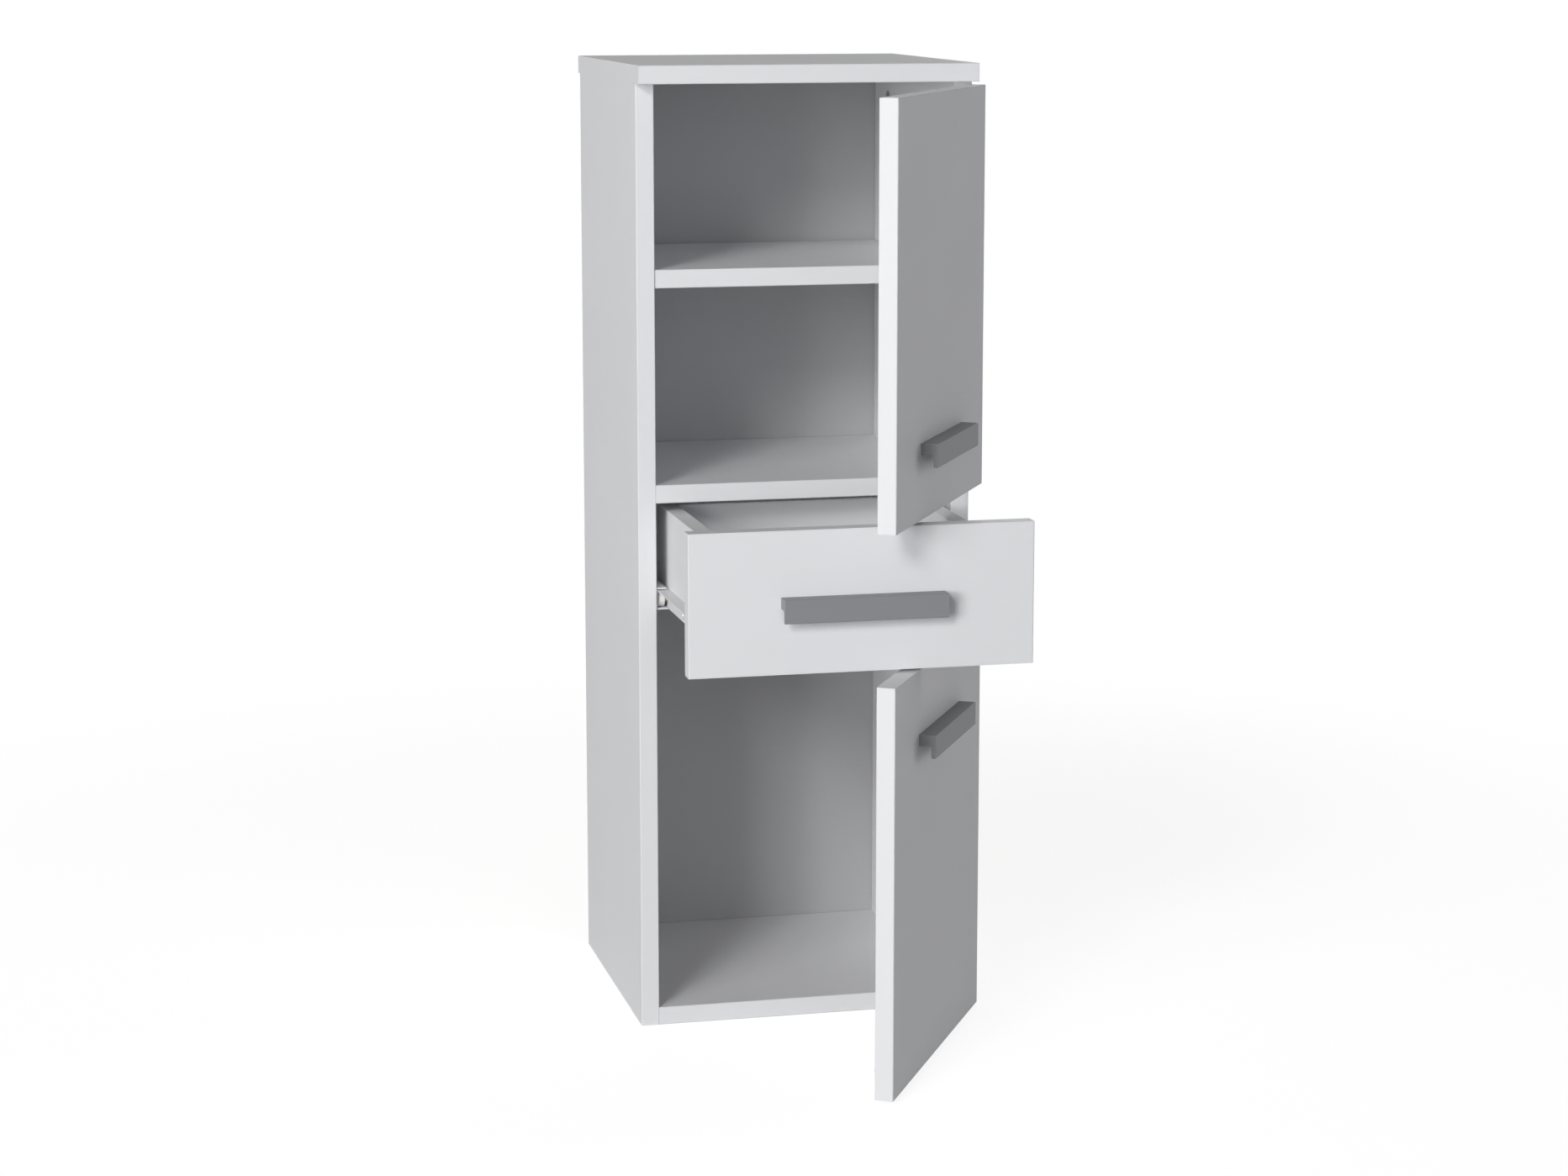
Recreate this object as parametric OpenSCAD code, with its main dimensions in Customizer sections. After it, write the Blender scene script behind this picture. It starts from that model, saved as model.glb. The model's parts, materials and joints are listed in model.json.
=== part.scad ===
// Freestanding bathroom cabinet: a tall narrow carcass of melamine-faced board with an upper door,
// a drawer on roller runners and a lower door, drawn with both doors and the drawer open.
// The origin lies on the floor under the middle of the carcass. +X is the right, +Y the back.

/* [Carcass] */
// Width over the side panels
cabinet_w = 300; // [260:1:420]
// Depth of the side panels
side_d = 272; // [260:1:360]
// Height of the side panels
side_h = 838; // [760:1:1000]
// Thickness of the carcass boards
board_t = 16; // [15:0.5:19]
// Height of the adjustable shelf's middle above the middle of the upper compartment
shelf_offset = 6.25; // [-30:0.25:30]
// Gap at each end of the adjustable shelf
shelf_end_gap = 0.5; // [0.3:0.1:1.5]
// Gap between the shelf and the back panel
shelf_back_gap = 3; // [1:0.5:20]
// Thickness of the back panel
back_t = 3; // [2.5:0.5:6]
// Distance of the back panel's lower and side edges from the outline of the carcass
back_inset = 1; // [0.5:0.5:5]
// Radius broken along the long edges of the boards
edge_r = 0.6; // [0.3:0.1:1.2]

/* [Top board] */
// Overhang of the top board past each side panel
top_side_overhang = 1; // [0:0.5:6]
// Overhang of the top board past the front of the carcass
top_front_overhang = 20; // [18:0.5:30]
// Thickness of the top board
top_t = 16; // [15:0.5:25]

/* [Doors and drawer front] */
// Thickness of the doors and the drawer front
front_t = 16; // [15:0.5:19]
// Gap between a closed front and the carcass
front_gap = 2; // [1.6:0.1:3]
// How far the fronts stop short of the outer face of each side panel
front_reveal = 2; // [1:0.5:4]
// Gap between one front and the next
joint_gap = 3; // [2:0.5:5]
// Gap between the floor and the lower door
door_floor_gap = 4; // [3:0.5:12]
// Height of the drawer front
drawer_front_h = 121; // [110:1:150]
// Angle at which both doors stand open
door_open = 60; // [0:1:90]

/* [Handles] */
// Length of a handle
handle_len = 140; // [120:1:180]
// Distance of a handle's lip from the front
handle_reach = 15; // [12:0.5:30]
// Thickness of the leg that stands on the front
handle_leg_t = 9.5; // [7:0.5:14]
// Height of the lip that hangs down
handle_lip_h = 20; // [16:0.5:32]
// Thickness of the lip
handle_lip_t = 4; // [3:0.5:6]
// Radius of the handle's outer edges
handle_edge_r = 0.8; // [0.3:0.1:1.5]
// Radius of the hollow under the leg
handle_hollow_r = 3; // [1:0.5:5]
// Distance between the two fixing holes of a handle
handle_pitch = 128; // [96:32:128]
// Height of the fixing holes from the nearest edge of a door
handle_inset = 60; // [30:1:120]
// Diameter of a handle screw's thread
handle_screw_d = 4; // [3:0.5:5]

/* [Door hinges] */
// Distance of each hinge from the end of its door
hinge_inset = 80; // [50:1:120]
// Distance of the hinge axis from the edge of the door
axis_edge = 1.3; // [1:0.1:3]
// Distance of the hinge axis from the front of the carcass
axis_front = 3.9; // [3.6:0.1:5]
// Diameter of the hinge pin
hinge_pin_d = 2.5; // [2:0.1:3]
// Outer diameter of the rolled eye round the hinge pin
hinge_eye_d = 4.6; // [4.2:0.1:5.4]
// Thickness of the hinge's sheet steel
hinge_sheet_t = 1.4; // [1.2:0.1:1.8]
// Width of the hinge arm
hinge_arm_w = 11; // [9:0.5:14]
// Diameter of the cup let into the door
cup_d = 26; // [24:1:35]
// Depth of the cup
cup_depth = 10.5; // [9:0.5:12]
// Board left between the cup and the edge of the door
cup_edge = 3.5; // [3:0.5:6]
// Thickness of the mounting plate's ridge
plate_t = 5; // [4:0.5:6]
// Distance of the mounting plate's screws from the front of the carcass
plate_line = 37; // [30:1:50]
// Distance between the two screws of a mounting plate
plate_pitch = 32; // [28:1:40]

/* [Drawer box] */
// Thickness of the drawer's sides and back
box_t = 16; // [12:0.5:18]
// Height of the drawer's sides
box_h = 85; // [70:1:100]
// Length of the drawer's sides
box_len = 250; // [220:1:258]
// Height of the drawer's sides above the lower edge of the drawer front
box_rise = 20.5; // [16:0.5:26]
// Space for the runner between a drawer side and a side panel
runner_space = 12.5; // [12:0.1:14]
// Thickness of the drawer's bottom panel
drawer_bottom_t = 3; // [2.5:0.5:4]
// Height of the bottom panel above the lower edge of the drawer sides
drawer_bottom_rise = 9; // [7:0.5:14]
// Depth of the grooves that hold the bottom panel
groove_depth = 6; // [4:0.5:8]

/* [Runners] */
// Thickness of the runners' sheet steel
rail_t = 1; // [0.8:0.1:1.4]
// Height of the drawer rail's web
drawer_rail_h = 16.5; // [15:0.5:20]
// Diameter of a runner's roller
roller_d = 14.6; // [13:0.1:15]
// Width of a roller's tread
roller_w = 6.4; // [5:0.1:7]
// Distance of the front roller's axle from the front of the carcass
front_roller_y = 12; // [10:0.5:20]
// Distance of the rear roller's axle from the end of the drawer rail
rear_roller_end = 12; // [10:0.5:18]
// Diameter of a roller's axle
axle_d = 4; // [3:0.1:5]
// Gap between a roller's tread and the rail that runs on it
roller_gap = 0.3; // [0.2:0.05:0.6]
// Distance left between the front and the rear axles with the drawer as drawn
axles_apart = 37; // [16:1:190]

/* [Fittings] */
// Diameter of a dowel
dowel_d = 8; // [6:1:10]
// Length of a dowel
dowel_len = 30; // [25:1:40]
// Diameter of a cam lock
cam_d = 15; // [12:0.5:20]
// Distance of a cam lock's middle from the end of its board
cam_reach = 24; // [22:0.5:34]
// Diameter of a cam bolt's shank
cam_bolt_d = 6; // [5:0.5:7]
// Diameter of a shelf pin
shelf_pin_d = 5; // [4:0.5:6]
// Height from one shelf position to the next
shelf_step = 32; // [20:1:64]
// Diameter of a chipboard screw's thread
screw_d = 3.5; // [3:0.1:4.5]
// Diameter of a back panel nail's shank
nail_d = 1.4; // [1.2:0.1:2]
// Space between two nails of the back panel
nail_pitch = 120; // [80:5:160]
// Diameter of a felt or plastic bumper
bumper_d = 8; // [6:0.5:12]

/* [Hidden] */
$fn = 48;

// Small play between a piece and the hole it sits in
play = 0.1;
// Gap all round a pin or axle that something turns on
running_gap = 0.07;
// Cuts run this far past the faces that they open
through = 1;

// Carcass
front_y = -side_d / 2;
back_y = side_d / 2;
side_x = cabinet_w / 2;
inner_x = side_x - board_t;
inner_w = 2 * inner_x;
top_d = top_front_overhang + side_d + back_t;
top_w = cabinet_w + 2 * top_side_overhang;

// Heights of the fronts, from the floor up
front_w = cabinet_w - 2 * front_reveal;
door_h = (side_h - door_floor_gap - drawer_front_h - 3 * joint_gap) / 2;
lower_door_z = door_floor_gap;
drawer_front_z = lower_door_z + door_h + joint_gap;
upper_door_z = drawer_front_z + drawer_front_h + joint_gap;
// The middle board lies behind the gap between the drawer front and the upper door
middle_z = upper_door_z - joint_gap / 2 - board_t / 2;
closed_y = front_y - front_gap;
// Board left under the bore of a cam lock
board_left = 3.2;
// How far the drawer is pulled out
drawer_out = box_len - front_gap - rear_roller_end - front_roller_y - axles_apart;
// Both fixed boards' lower faces, and the shelf's lower face
fixed_board_zs = [0, middle_z];
shelf_z = (middle_z + board_t + side_h) / 2 + shelf_offset - board_t / 2;

// Hinges: their axis stands in front of the right side panel
axis_x = side_x - front_reveal - axis_edge;
axis_y = front_y - axis_front;
eye_r = hinge_eye_d / 2;
cup_x = side_x - front_reveal - cup_edge - cup_d / 2;
cup_wall = 1;
cup_flange_t = 1;
cup_ring = 2;
cup_wing_w = 13;
cup_wing_h = 46;
cup_screw_pitch = 36;
cheek_t = 1.5;
cheek_gap = 0.6;
// Gap between the cheeks and the slot in the door's edge, beside them and under the eye
slot_gap = 0.3;
slot_room = 0.7;
slot_w = hinge_arm_w + 2 * (cheek_gap + cheek_t + slot_gap);
slot_depth = axis_front - front_gap + eye_r + slot_room;
arm_web_x = inner_x - plate_t - play;
arm_len = 62;
arm_bend = 1;
arm_flange_t = 1.2;
arm_flange_start = 14;
plate_len = 40;
plate_wing_w = 16;
plate_wing_t = 2;
plate_screw_end = 6;
plate_h = plate_pitch + 2 * plate_screw_end;
arm_gap = 0.3;
arm_flange_h = plate_t + play - plate_wing_t - arm_gap;
ridge_w = hinge_arm_w - 2 * (arm_flange_t + 2 * play);
arm_screw_d = 4;
arm_screw_head_d = 6.5;
arm_screw_reach = 13;
arm_screw_ys = [for (s = [-1, 1]) front_y + plate_line + s * arm_screw_reach];
cup_screw_len = 11;
cup_screw_head_d = 6;
cup_screw_head_t = 0.8;

// Handles: their holes lie at handle_inset from the near edge of a door, and midway up the drawer
upper_handle_z = upper_door_z + handle_inset;
lower_handle_z = lower_door_z + door_h - handle_inset;
drawer_handle_z = drawer_front_z + drawer_front_h / 2;

// Drawer box, given closed and then moved out by drawer_out
box_x = inner_x - runner_space;
box_z = drawer_front_z + box_rise;
box_inner_w = 2 * (box_x - box_t);
bottom_panel_z = box_z + drawer_bottom_rise;
drawer_screw_wall = 1.15;
drawer_back_z = bottom_panel_z + drawer_bottom_t + play;
groove_h = drawer_bottom_t + 2 * play;
bottom_slack = 0.5;
drawer_dowel_end = 18;
box_cam_depth = box_t - board_left;
box_screw_d = 5;
box_screw_len = 45;
box_screw_low = 32;
box_screw_high = 16;
box_screw_zs = [box_z + box_screw_low, box_z + box_h - box_screw_high];

// Runners: the drawer rail's top flange rides on the cabinet's front roller, and the drawer's
// rear roller rides on the cabinet rail's lower flange
drawer_flange_z = box_z + drawer_rail_h - rail_t;
roller_r = roller_d / 2;
front_roller_z = drawer_flange_z - roller_gap - roller_r;
rear_roller_z = front_roller_z;
rail_floor_z = rear_roller_z - roller_r - roller_gap - rail_t;
rail_headroom = 1;
cabinet_rail_h = drawer_flange_z + rail_t + rail_headroom - rail_floor_z + rail_t;
roller_in = 1.2;
flange_gap = 0.4;
flange_reach = runner_space - 2 * rail_t - flange_gap;
rail_lead = 2;
foot_gap = 0.6;
cabinet_flange_w = runner_space - rail_t - foot_gap;
cabinet_top_w = 9;
drawer_foot_w = 10;
// Runner screws, from the front of the carcass and from the closed front
rail_screw_first = 37;
rail_screw_end = 21;
rail_screw_last = box_len - rail_screw_end;
rail_screw_ys = [rail_screw_first, (rail_screw_first + rail_screw_last) / 2, rail_screw_last];
drawer_screw_end = 45;
drawer_rail_screw_ys = [drawer_screw_end, box_len / 2, box_len - drawer_screw_end];
drawer_screw_z = bottom_panel_z - play - drawer_screw_wall - screw_d / 2;
axle_head_t = 0.5;
axle_end_gap = 0.3;
front_roller_x = inner_x - rail_t - roller_in - roller_w / 2;
rear_roller_x = box_x + rail_t + roller_in + roller_w / 2;
rear_axle_y = closed_y + box_len - rear_roller_end;

// Fittings
cam_depth = board_t - board_left;
cam_sunk = 0.3;
cam_bolt_in = 11;
cam_play = 0.5;
dowel_bite = 11;
cam_inset = 46;
dowel_inset = 20;
screw_head_d = 7;
screw_head_t = 1.6;
screw_len = 14;
handle_head_d = 8;
handle_head_t = 1.8;
handle_bite = 7;
bumper_t = front_gap - play;
bumper_in = 8;
bumper_end = 24;
shelf_pin_out = 8;
shelf_pin_in = 9;
shelf_pin_inset = 50;
shelf_pin_y_at = side_d / 2 - shelf_pin_inset;
shelf_pin_z = shelf_z - shelf_pin_d / 2;
nail_head_d = 3.2;
nail_head_t = 0.5;
nail_len = 18;
nail_start = 60;
nail_end = 40;
side_nail_zs = [for (z = [nail_start:nail_pitch:side_h - nail_end]) z];
board_nail_xs = [-inner_w / 4, 0, inner_w / 4];

// Colours
board_white = [0.93, 0.94, 0.96];
satin_grey = [0.63, 0.64, 0.65];
bright_steel = [0.78, 0.79, 0.80];
enamel_white = [0.90, 0.91, 0.92];
nylon_white = [0.95, 0.95, 0.93];
beech = [0.80, 0.66, 0.47];
clear_plastic = [0.85, 0.86, 0.86];

// Moves a closed door's pieces to where the door stands open
module hung() {
    translate([axis_x, axis_y, 0]) rotate([0, 0, door_open]) translate([-axis_x, -axis_y, 0])
        children();
}

// Moves the closed drawer's pieces to where the drawer is pulled out
module pulled() {
    translate([0, -drawer_out, 0]) children();
}

// Repeats a piece as it is and mirrored to the other side of the cabinet
module both_sides() {
    children();
    mirror([1, 0, 0]) children();
}

// A board with the four edges along one axis broken by a small chamfer
module board(size, along = "z") {
    c = edge_r;
    function outline(a, b) = [[c, 0], [a - c, 0], [a, c], [a, b - c], [a - c, b], [c, b],
        [0, b - c], [0, c]];
    if (along == "z") linear_extrude(size.z) polygon(outline(size.x, size.y));
    if (along == "x") rotate([90, 0, 90])
        linear_extrude(size.x) polygon(outline(size.y, size.z));
    if (along == "y") translate([0, size.y, 0]) rotate([90, 0, 0])
        linear_extrude(size.y) polygon(outline(size.x, size.z));
}

// A cylinder that runs along +X from its start
module rod_x(d, length) {
    rotate([0, 90, 0]) cylinder(d = d, h = length);
}

// A cylinder that runs along +Y from its start
module rod_y(d, length) {
    rotate([-90, 0, 0]) cylinder(d = d, h = length);
}

// Heights of the two hinges of the door whose lower end is at door_z
function hinge_heights(door_z) = [door_z + hinge_inset, door_z + door_h - hinge_inset];
all_hinge_heights = concat(hinge_heights(lower_door_z), hinge_heights(upper_door_z));

// Places along the depth of the cabinet, for dowels and for cam bolts
dowel_ys = [front_y + dowel_inset, back_y - dowel_inset];
cam_ys = [front_y + cam_inset, back_y - cam_inset];

// Holes in the right side panel, cut from its inner face and its upper end. The shelf's pins have
// a spare position above and below.
module side_holes() {
    for (z = fixed_board_zs) {
        for (y = dowel_ys)
            translate([inner_x - through, y, z + board_t / 2])
                rod_x(dowel_d + play, dowel_bite + play + through);
        for (y = cam_ys)
            translate([inner_x - through, y, z + board_t / 2])
                rod_x(cam_bolt_d + play, cam_bolt_in + play + through);
    }
    for (y = dowel_ys)
        translate([inner_x + board_t / 2, y, side_h - dowel_len + dowel_bite - play])
            cylinder(d = dowel_d + play, h = dowel_len);
    for (y = cam_ys) {
        translate([inner_x + board_t / 2, y, side_h - cam_reach])
            cylinder(d = cam_bolt_d + 2 * cam_play, h = cam_reach + through);
        translate([inner_x - through, y, side_h - cam_reach])
            rod_x(cam_d + play, cam_depth + through);
    }
    for (y = [-shelf_pin_y_at, shelf_pin_y_at], step = [-1, 0, 1])
        translate([inner_x - through, y, shelf_pin_z + step * shelf_step])
            rod_x(shelf_pin_d + play, shelf_pin_in + play + through);
    for (y = rail_screw_ys)
        translate([inner_x - through, front_y + y, front_roller_z])
            rod_x(screw_d + play, screw_len + through);
    for (z = side_nail_zs)
        translate([inner_x + board_t / 2, back_y - nail_len, z])
            rod_y(nail_d + play, nail_len + through);
}

module side_board() {
    translate([inner_x, front_y, 0]) board([board_t, side_d, side_h]);
}

module left_side() {
    color(board_white) mirror([1, 0, 0]) difference() {
        side_board();
        side_holes();
    }
}

// The right side panel also takes the screws of the hinge plates
module right_side() {
    color(board_white) difference() {
        side_board();
        side_holes();
        for (z = all_hinge_heights, s = [-1, 1])
            translate([inner_x - through, front_y + plate_line, z + s * plate_pitch / 2])
                rod_x(screw_d + play, screw_len + through);
    }
}

// A board between the sides, with its dowel holes, bolt holes and cam lock bores
module fixed_board(z) {
    mid_z = z + board_t / 2;
    difference() {
        translate([-inner_x, front_y, z]) board([inner_w, side_d, board_t], "x");
        both_sides() {
            for (y = dowel_ys)
                translate([inner_x - dowel_len + dowel_bite - play, y, mid_z])
                    rod_x(dowel_d + play, dowel_len);
            for (y = cam_ys) {
                translate([inner_x - cam_reach, y, mid_z])
                    rod_x(cam_bolt_d + 2 * cam_play, cam_reach + through);
                translate([inner_x - cam_reach, y, z - through])
                    cylinder(d = cam_d + play, h = cam_depth + through);
            }
        }
        for (x = board_nail_xs)
            translate([x, back_y - nail_len, mid_z]) rod_y(nail_d + play, nail_len + through);
    }
}

module bottom_board() {
    color(board_white) fixed_board(0);
}

module middle_board() {
    color(board_white) fixed_board(middle_z);
}

module top_board() {
    color(board_white) difference() {
        translate([-top_w / 2, front_y - top_front_overhang, side_h])
            board([top_w, top_d, top_t], "x");
        both_sides() {
            for (y = dowel_ys)
                translate([inner_x + board_t / 2, y, side_h - through])
                    cylinder(d = dowel_d + play, h = dowel_bite + play + through);
            for (y = cam_ys)
                translate([inner_x + board_t / 2, y, side_h - through])
                    cylinder(d = cam_bolt_d + play, h = cam_bolt_in + play + through);
        }
    }
}

module shelf() {
    color(board_white)
        translate([-inner_x + shelf_end_gap, front_y, shelf_z])
            board([inner_w - 2 * shelf_end_gap, side_d - shelf_back_gap, board_t], "x");
}

module shelf_pins() {
    color(bright_steel) both_sides()
        for (y = [-shelf_pin_y_at, shelf_pin_y_at])
            translate([inner_x - shelf_pin_out, y, shelf_pin_z])
                rod_x(shelf_pin_d, shelf_pin_out + shelf_pin_in);
}

// The back panel ends under the top board, which covers its upper edge
module back_panel() {
    color(board_white) difference() {
        translate([-side_x + back_inset, back_y, back_inset])
            cube([cabinet_w - 2 * back_inset, back_t, side_h - back_inset]);
        nail_places() rod_y(nail_d + play, 3 * back_t);
    }
}

// Each nail's place, on the front face of the back panel less its thickness
module nail_places() {
    both_sides() for (z = side_nail_zs)
        translate([inner_x + board_t / 2, back_y - back_t, z]) children();
    for (z = fixed_board_zs, x = board_nail_xs)
        translate([x, back_y - back_t, z + board_t / 2]) children();
}

module back_nails() {
    color(bright_steel) nail_places() translate([0, 2 * back_t, 0]) {
        translate([0, -nail_len - back_t, 0]) rod_y(nail_d, nail_len + back_t + nail_head_t);
        rod_y(nail_head_d, nail_head_t);
    }
}

module dowels() {
    color(beech) both_sides() for (y = dowel_ys) {
        for (z = fixed_board_zs)
            translate([inner_x - dowel_len + dowel_bite, y, z + board_t / 2])
                rod_x(dowel_d, dowel_len);
        translate([inner_x + board_t / 2, y, side_h - dowel_len + dowel_bite])
            cylinder(d = dowel_d, h = dowel_len);
    }
}

// A cam bolt along +X: its head sits in the lock at the start, its thread in the far board
module cam_bolt(reach) {
    neck_d = cam_bolt_d * 2 / 3;
    head_l = 3;
    neck_l = 5;
    rod_x(cam_bolt_d, head_l);
    rod_x(neck_d, head_l + neck_l + through);
    translate([head_l + neck_l, 0, 0]) rod_x(cam_bolt_d, reach - head_l - neck_l + cam_bolt_in);
}

module cam_bolts() {
    color(bright_steel) both_sides() for (y = cam_ys) {
        for (z = fixed_board_zs)
            translate([inner_x - cam_reach, y, z + board_t / 2]) cam_bolt(cam_reach);
        translate([inner_x + board_t / 2, y, side_h - cam_reach])
            rotate([0, -90, 0]) cam_bolt(cam_reach);
    }
}

// A cam lock for a bore of the given depth. It stands on its open face with its axis along +Z, and
// its bolt comes in along +X.
module cam_lock(bolt_h, depth) {
    cross_w = 1.6;
    cross_l = 9;
    cross_t = 2;
    difference() {
        translate([0, 0, cam_sunk]) cylinder(d = cam_d - play, h = depth - 2 * cam_sunk);
        translate([-cam_bolt_d / 2, 0, bolt_h])
            rod_x(cam_bolt_d + 2 * cam_play, cam_d);
        for (a = [0, 90]) rotate([0, 0, a])
            translate([-cross_l / 2, -cross_w / 2, -through])
                cube([cross_l, cross_w, cross_t + through]);
    }
}

module cam_locks() {
    color(bright_steel) both_sides() for (y = cam_ys) {
        for (z = fixed_board_zs)
            translate([inner_x - cam_reach, y, z]) cam_lock(board_t / 2, cam_depth);
        translate([inner_x, y, side_h - cam_reach])
            rotate([0, 90, 0]) rotate([0, 0, 180]) cam_lock(board_t / 2, cam_depth);
    }
}

// The front of a door or drawer, closed, with the two holes of its handle
module front_board(z, height, handle_z) {
    difference() {
        translate([-front_w / 2, closed_y - front_t, z]) board([front_w, front_t, height], "z");
        handle_screw_places(handle_z) translate([0, -front_t - through, 0])
            rod_y(handle_screw_d + 2 * play, front_t + 2 * through);
    }
}

// Both fixing places of a handle, on the inner face of its closed front
module handle_screw_places(handle_z) {
    for (s = [-1, 1]) translate([s * handle_pitch / 2, closed_y, handle_z]) children();
}

module handle_screws(handle_z) {
    handle_screw_places(handle_z) {
        translate([0, -front_t - handle_bite, 0])
            rod_y(handle_screw_d, front_t + handle_bite + through);
        rod_y(handle_head_d, handle_head_t);
    }
}

// A handle on its closed front: a leg that stands out and a lip that hangs from its edge
module handle(handle_z) {
    face_y = closed_y - front_t;
    top = handle_leg_t / 2;
    r = handle_edge_r;
    h = handle_hollow_r;
    steps = 6;
    function arc(cx, cy, radius, from, to) = [for (i = [0:steps]) let (a = from + (to - from) * i / steps)
        [cx + radius * cos(a), cy + radius * sin(a)]];
    // The outline lies in Y and Z, with the front's face at y = 0 and the handle at negative y
    outline = concat([[0, top]], arc(-handle_reach + r, top - r, r, 90, 180),
        arc(-handle_reach + r, top - handle_lip_h + r, r, 180, 270),
        arc(-handle_reach + handle_lip_t - r, top - handle_lip_h + r, r, 270, 360),
        arc(-handle_reach + handle_lip_t + h, -top - h, h, 180, 90), [[0, -top]]);
    difference() {
        translate([-handle_len / 2, face_y, handle_z]) rotate([90, 0, 90])
            linear_extrude(handle_len) polygon(outline);
        handle_screw_places(handle_z) translate([0, -front_t - handle_bite - play, 0])
            rod_y(handle_screw_d + play, handle_bite + play + through);
    }
}

// The cuts that let a door's two hinges in, for the closed door
module hinge_cuts(door_z) {
    for (z = hinge_heights(door_z)) translate([0, closed_y, z]) {
        translate([cup_x, -cup_depth - play, 0]) rod_y(cup_d + 2 * play, cup_depth + through);
        translate([cup_x, -slot_depth, -slot_w / 2])
            cube([side_x - cup_x, slot_depth + through, slot_w]);
        for (s = [-1, 1]) translate([cup_x, -cup_screw_len, s * cup_screw_pitch / 2])
            rod_y(screw_d + play, cup_screw_len + through);
    }
}

module door(door_z, handle_z) {
    color(board_white) hung() difference() {
        front_board(door_z, door_h, handle_z);
        hinge_cuts(door_z);
    }
}

module upper_door() {
    door(upper_door_z, upper_handle_z);
}

module lower_door() {
    door(lower_door_z, lower_handle_z);
}

module upper_door_handle() {
    color(satin_grey) hung() handle(upper_handle_z);
}

module lower_door_handle() {
    color(satin_grey) hung() handle(lower_handle_z);
}

module upper_handle_screws() {
    color(bright_steel) hung() handle_screws(upper_handle_z);
}

module lower_handle_screws() {
    color(bright_steel) hung() handle_screws(lower_handle_z);
}

// A bumper on the inner face of a closed front, facing the edge of a side panel
module bumper() {
    rim = 0.6;
    rod_y(bumper_d, bumper_t - rim);
    translate([0, bumper_t - rim, 0]) rod_y(bumper_d - 2 * rim, rim);
}

module door_bumpers(door_z) {
    color(clear_plastic) hung() for (z = [door_z + bumper_end, door_z + door_h - bumper_end])
        translate([-front_w / 2 + bumper_in, closed_y, z]) bumper();
}

module upper_door_bumpers() {
    door_bumpers(upper_door_z);
}

module lower_door_bumpers() {
    door_bumpers(lower_door_z);
}

// Repeats a hinge's fixed piece at every hinge on the right side panel
module at_hinges() {
    for (z = all_hinge_heights) translate([0, 0, z]) children();
}

// A mounting plate: a ridge that the arm straddles, with a wing above and below for its screws
module hinge_plate() {
    line_y = front_y + plate_line;
    difference() {
        union() {
            translate([inner_x - plate_t, line_y - plate_len / 2, -ridge_w / 2])
                cube([plate_t, plate_len, ridge_w]);
            translate([inner_x - plate_wing_t, line_y - plate_wing_w / 2, -plate_h / 2])
                cube([plate_wing_t, plate_wing_w, plate_h]);
        }
        for (s = [-1, 1]) translate([inner_x - plate_wing_t - through, line_y, s * plate_pitch / 2])
            rod_x(screw_d + play, plate_wing_t + 2 * through);
        for (y = arm_screw_ys) translate([inner_x - plate_t - through, y, 0])
            rod_x(arm_screw_d + play, plate_t + 2 * through);
    }
}

module hinge_plates() {
    color(bright_steel) at_hinges() hinge_plate();
}

// A pan-headed screw along +X with its head's seat at x = 0
module screw_x(d, length, head_d, head_t) {
    rod_x(d, length);
    translate([-head_t, 0, 0]) rod_x(head_d, head_t);
}

module hinge_plate_screws() {
    color(bright_steel) at_hinges() for (s = [-1, 1])
        translate([inner_x - plate_wing_t, front_y + plate_line, s * plate_pitch / 2])
            screw_x(screw_d, screw_len, screw_head_d, screw_head_t);
}

// The bent sheet of a hinge arm seen from above: eye, strap across the panel's edge, bend and web
module arm_sheet() {
    strap_y = axis_y + eye_r - hinge_sheet_t;
    web_x = arm_web_x - hinge_sheet_t;
    bend_r = hinge_sheet_t + arm_bend;
    difference() {
        union() {
            translate([axis_x, axis_y]) circle(r = eye_r);
            translate([web_x + bend_r, strap_y]) square([axis_x - web_x - bend_r, hinge_sheet_t]);
            translate([web_x, strap_y + bend_r])
                square([hinge_sheet_t, front_y + arm_len - strap_y - bend_r]);
            translate([web_x + bend_r, strap_y + bend_r]) intersection() {
                difference() {
                    circle(r = bend_r);
                    circle(r = bend_r - hinge_sheet_t);
                }
                translate([-bend_r, -bend_r]) square(bend_r);
            }
        }
        translate([axis_x, axis_y]) circle(d = hinge_pin_d + 2 * running_gap);
    }
}

module hinge_arm() {
    difference() {
        union() {
            translate([0, 0, -hinge_arm_w / 2]) linear_extrude(hinge_arm_w) arm_sheet();
            for (s = [-1, 1]) translate([arm_web_x - play, front_y + arm_flange_start,
                s * (hinge_arm_w - arm_flange_t) / 2 - arm_flange_t / 2])
                cube([arm_flange_h + play, arm_len - arm_flange_start, arm_flange_t]);
        }
        for (y = arm_screw_ys) translate([arm_web_x - hinge_sheet_t - through, y, 0])
            rod_x(arm_screw_d + play, hinge_sheet_t + 2 * through);
    }
}

module hinge_arms() {
    color(bright_steel) at_hinges() hinge_arm();
}

module hinge_arm_screws() {
    color(bright_steel) at_hinges() for (y = arm_screw_ys)
        translate([arm_web_x - hinge_sheet_t, y, 0])
            screw_x(arm_screw_d, hinge_sheet_t + plate_t, arm_screw_head_d, screw_head_t);
}

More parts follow.
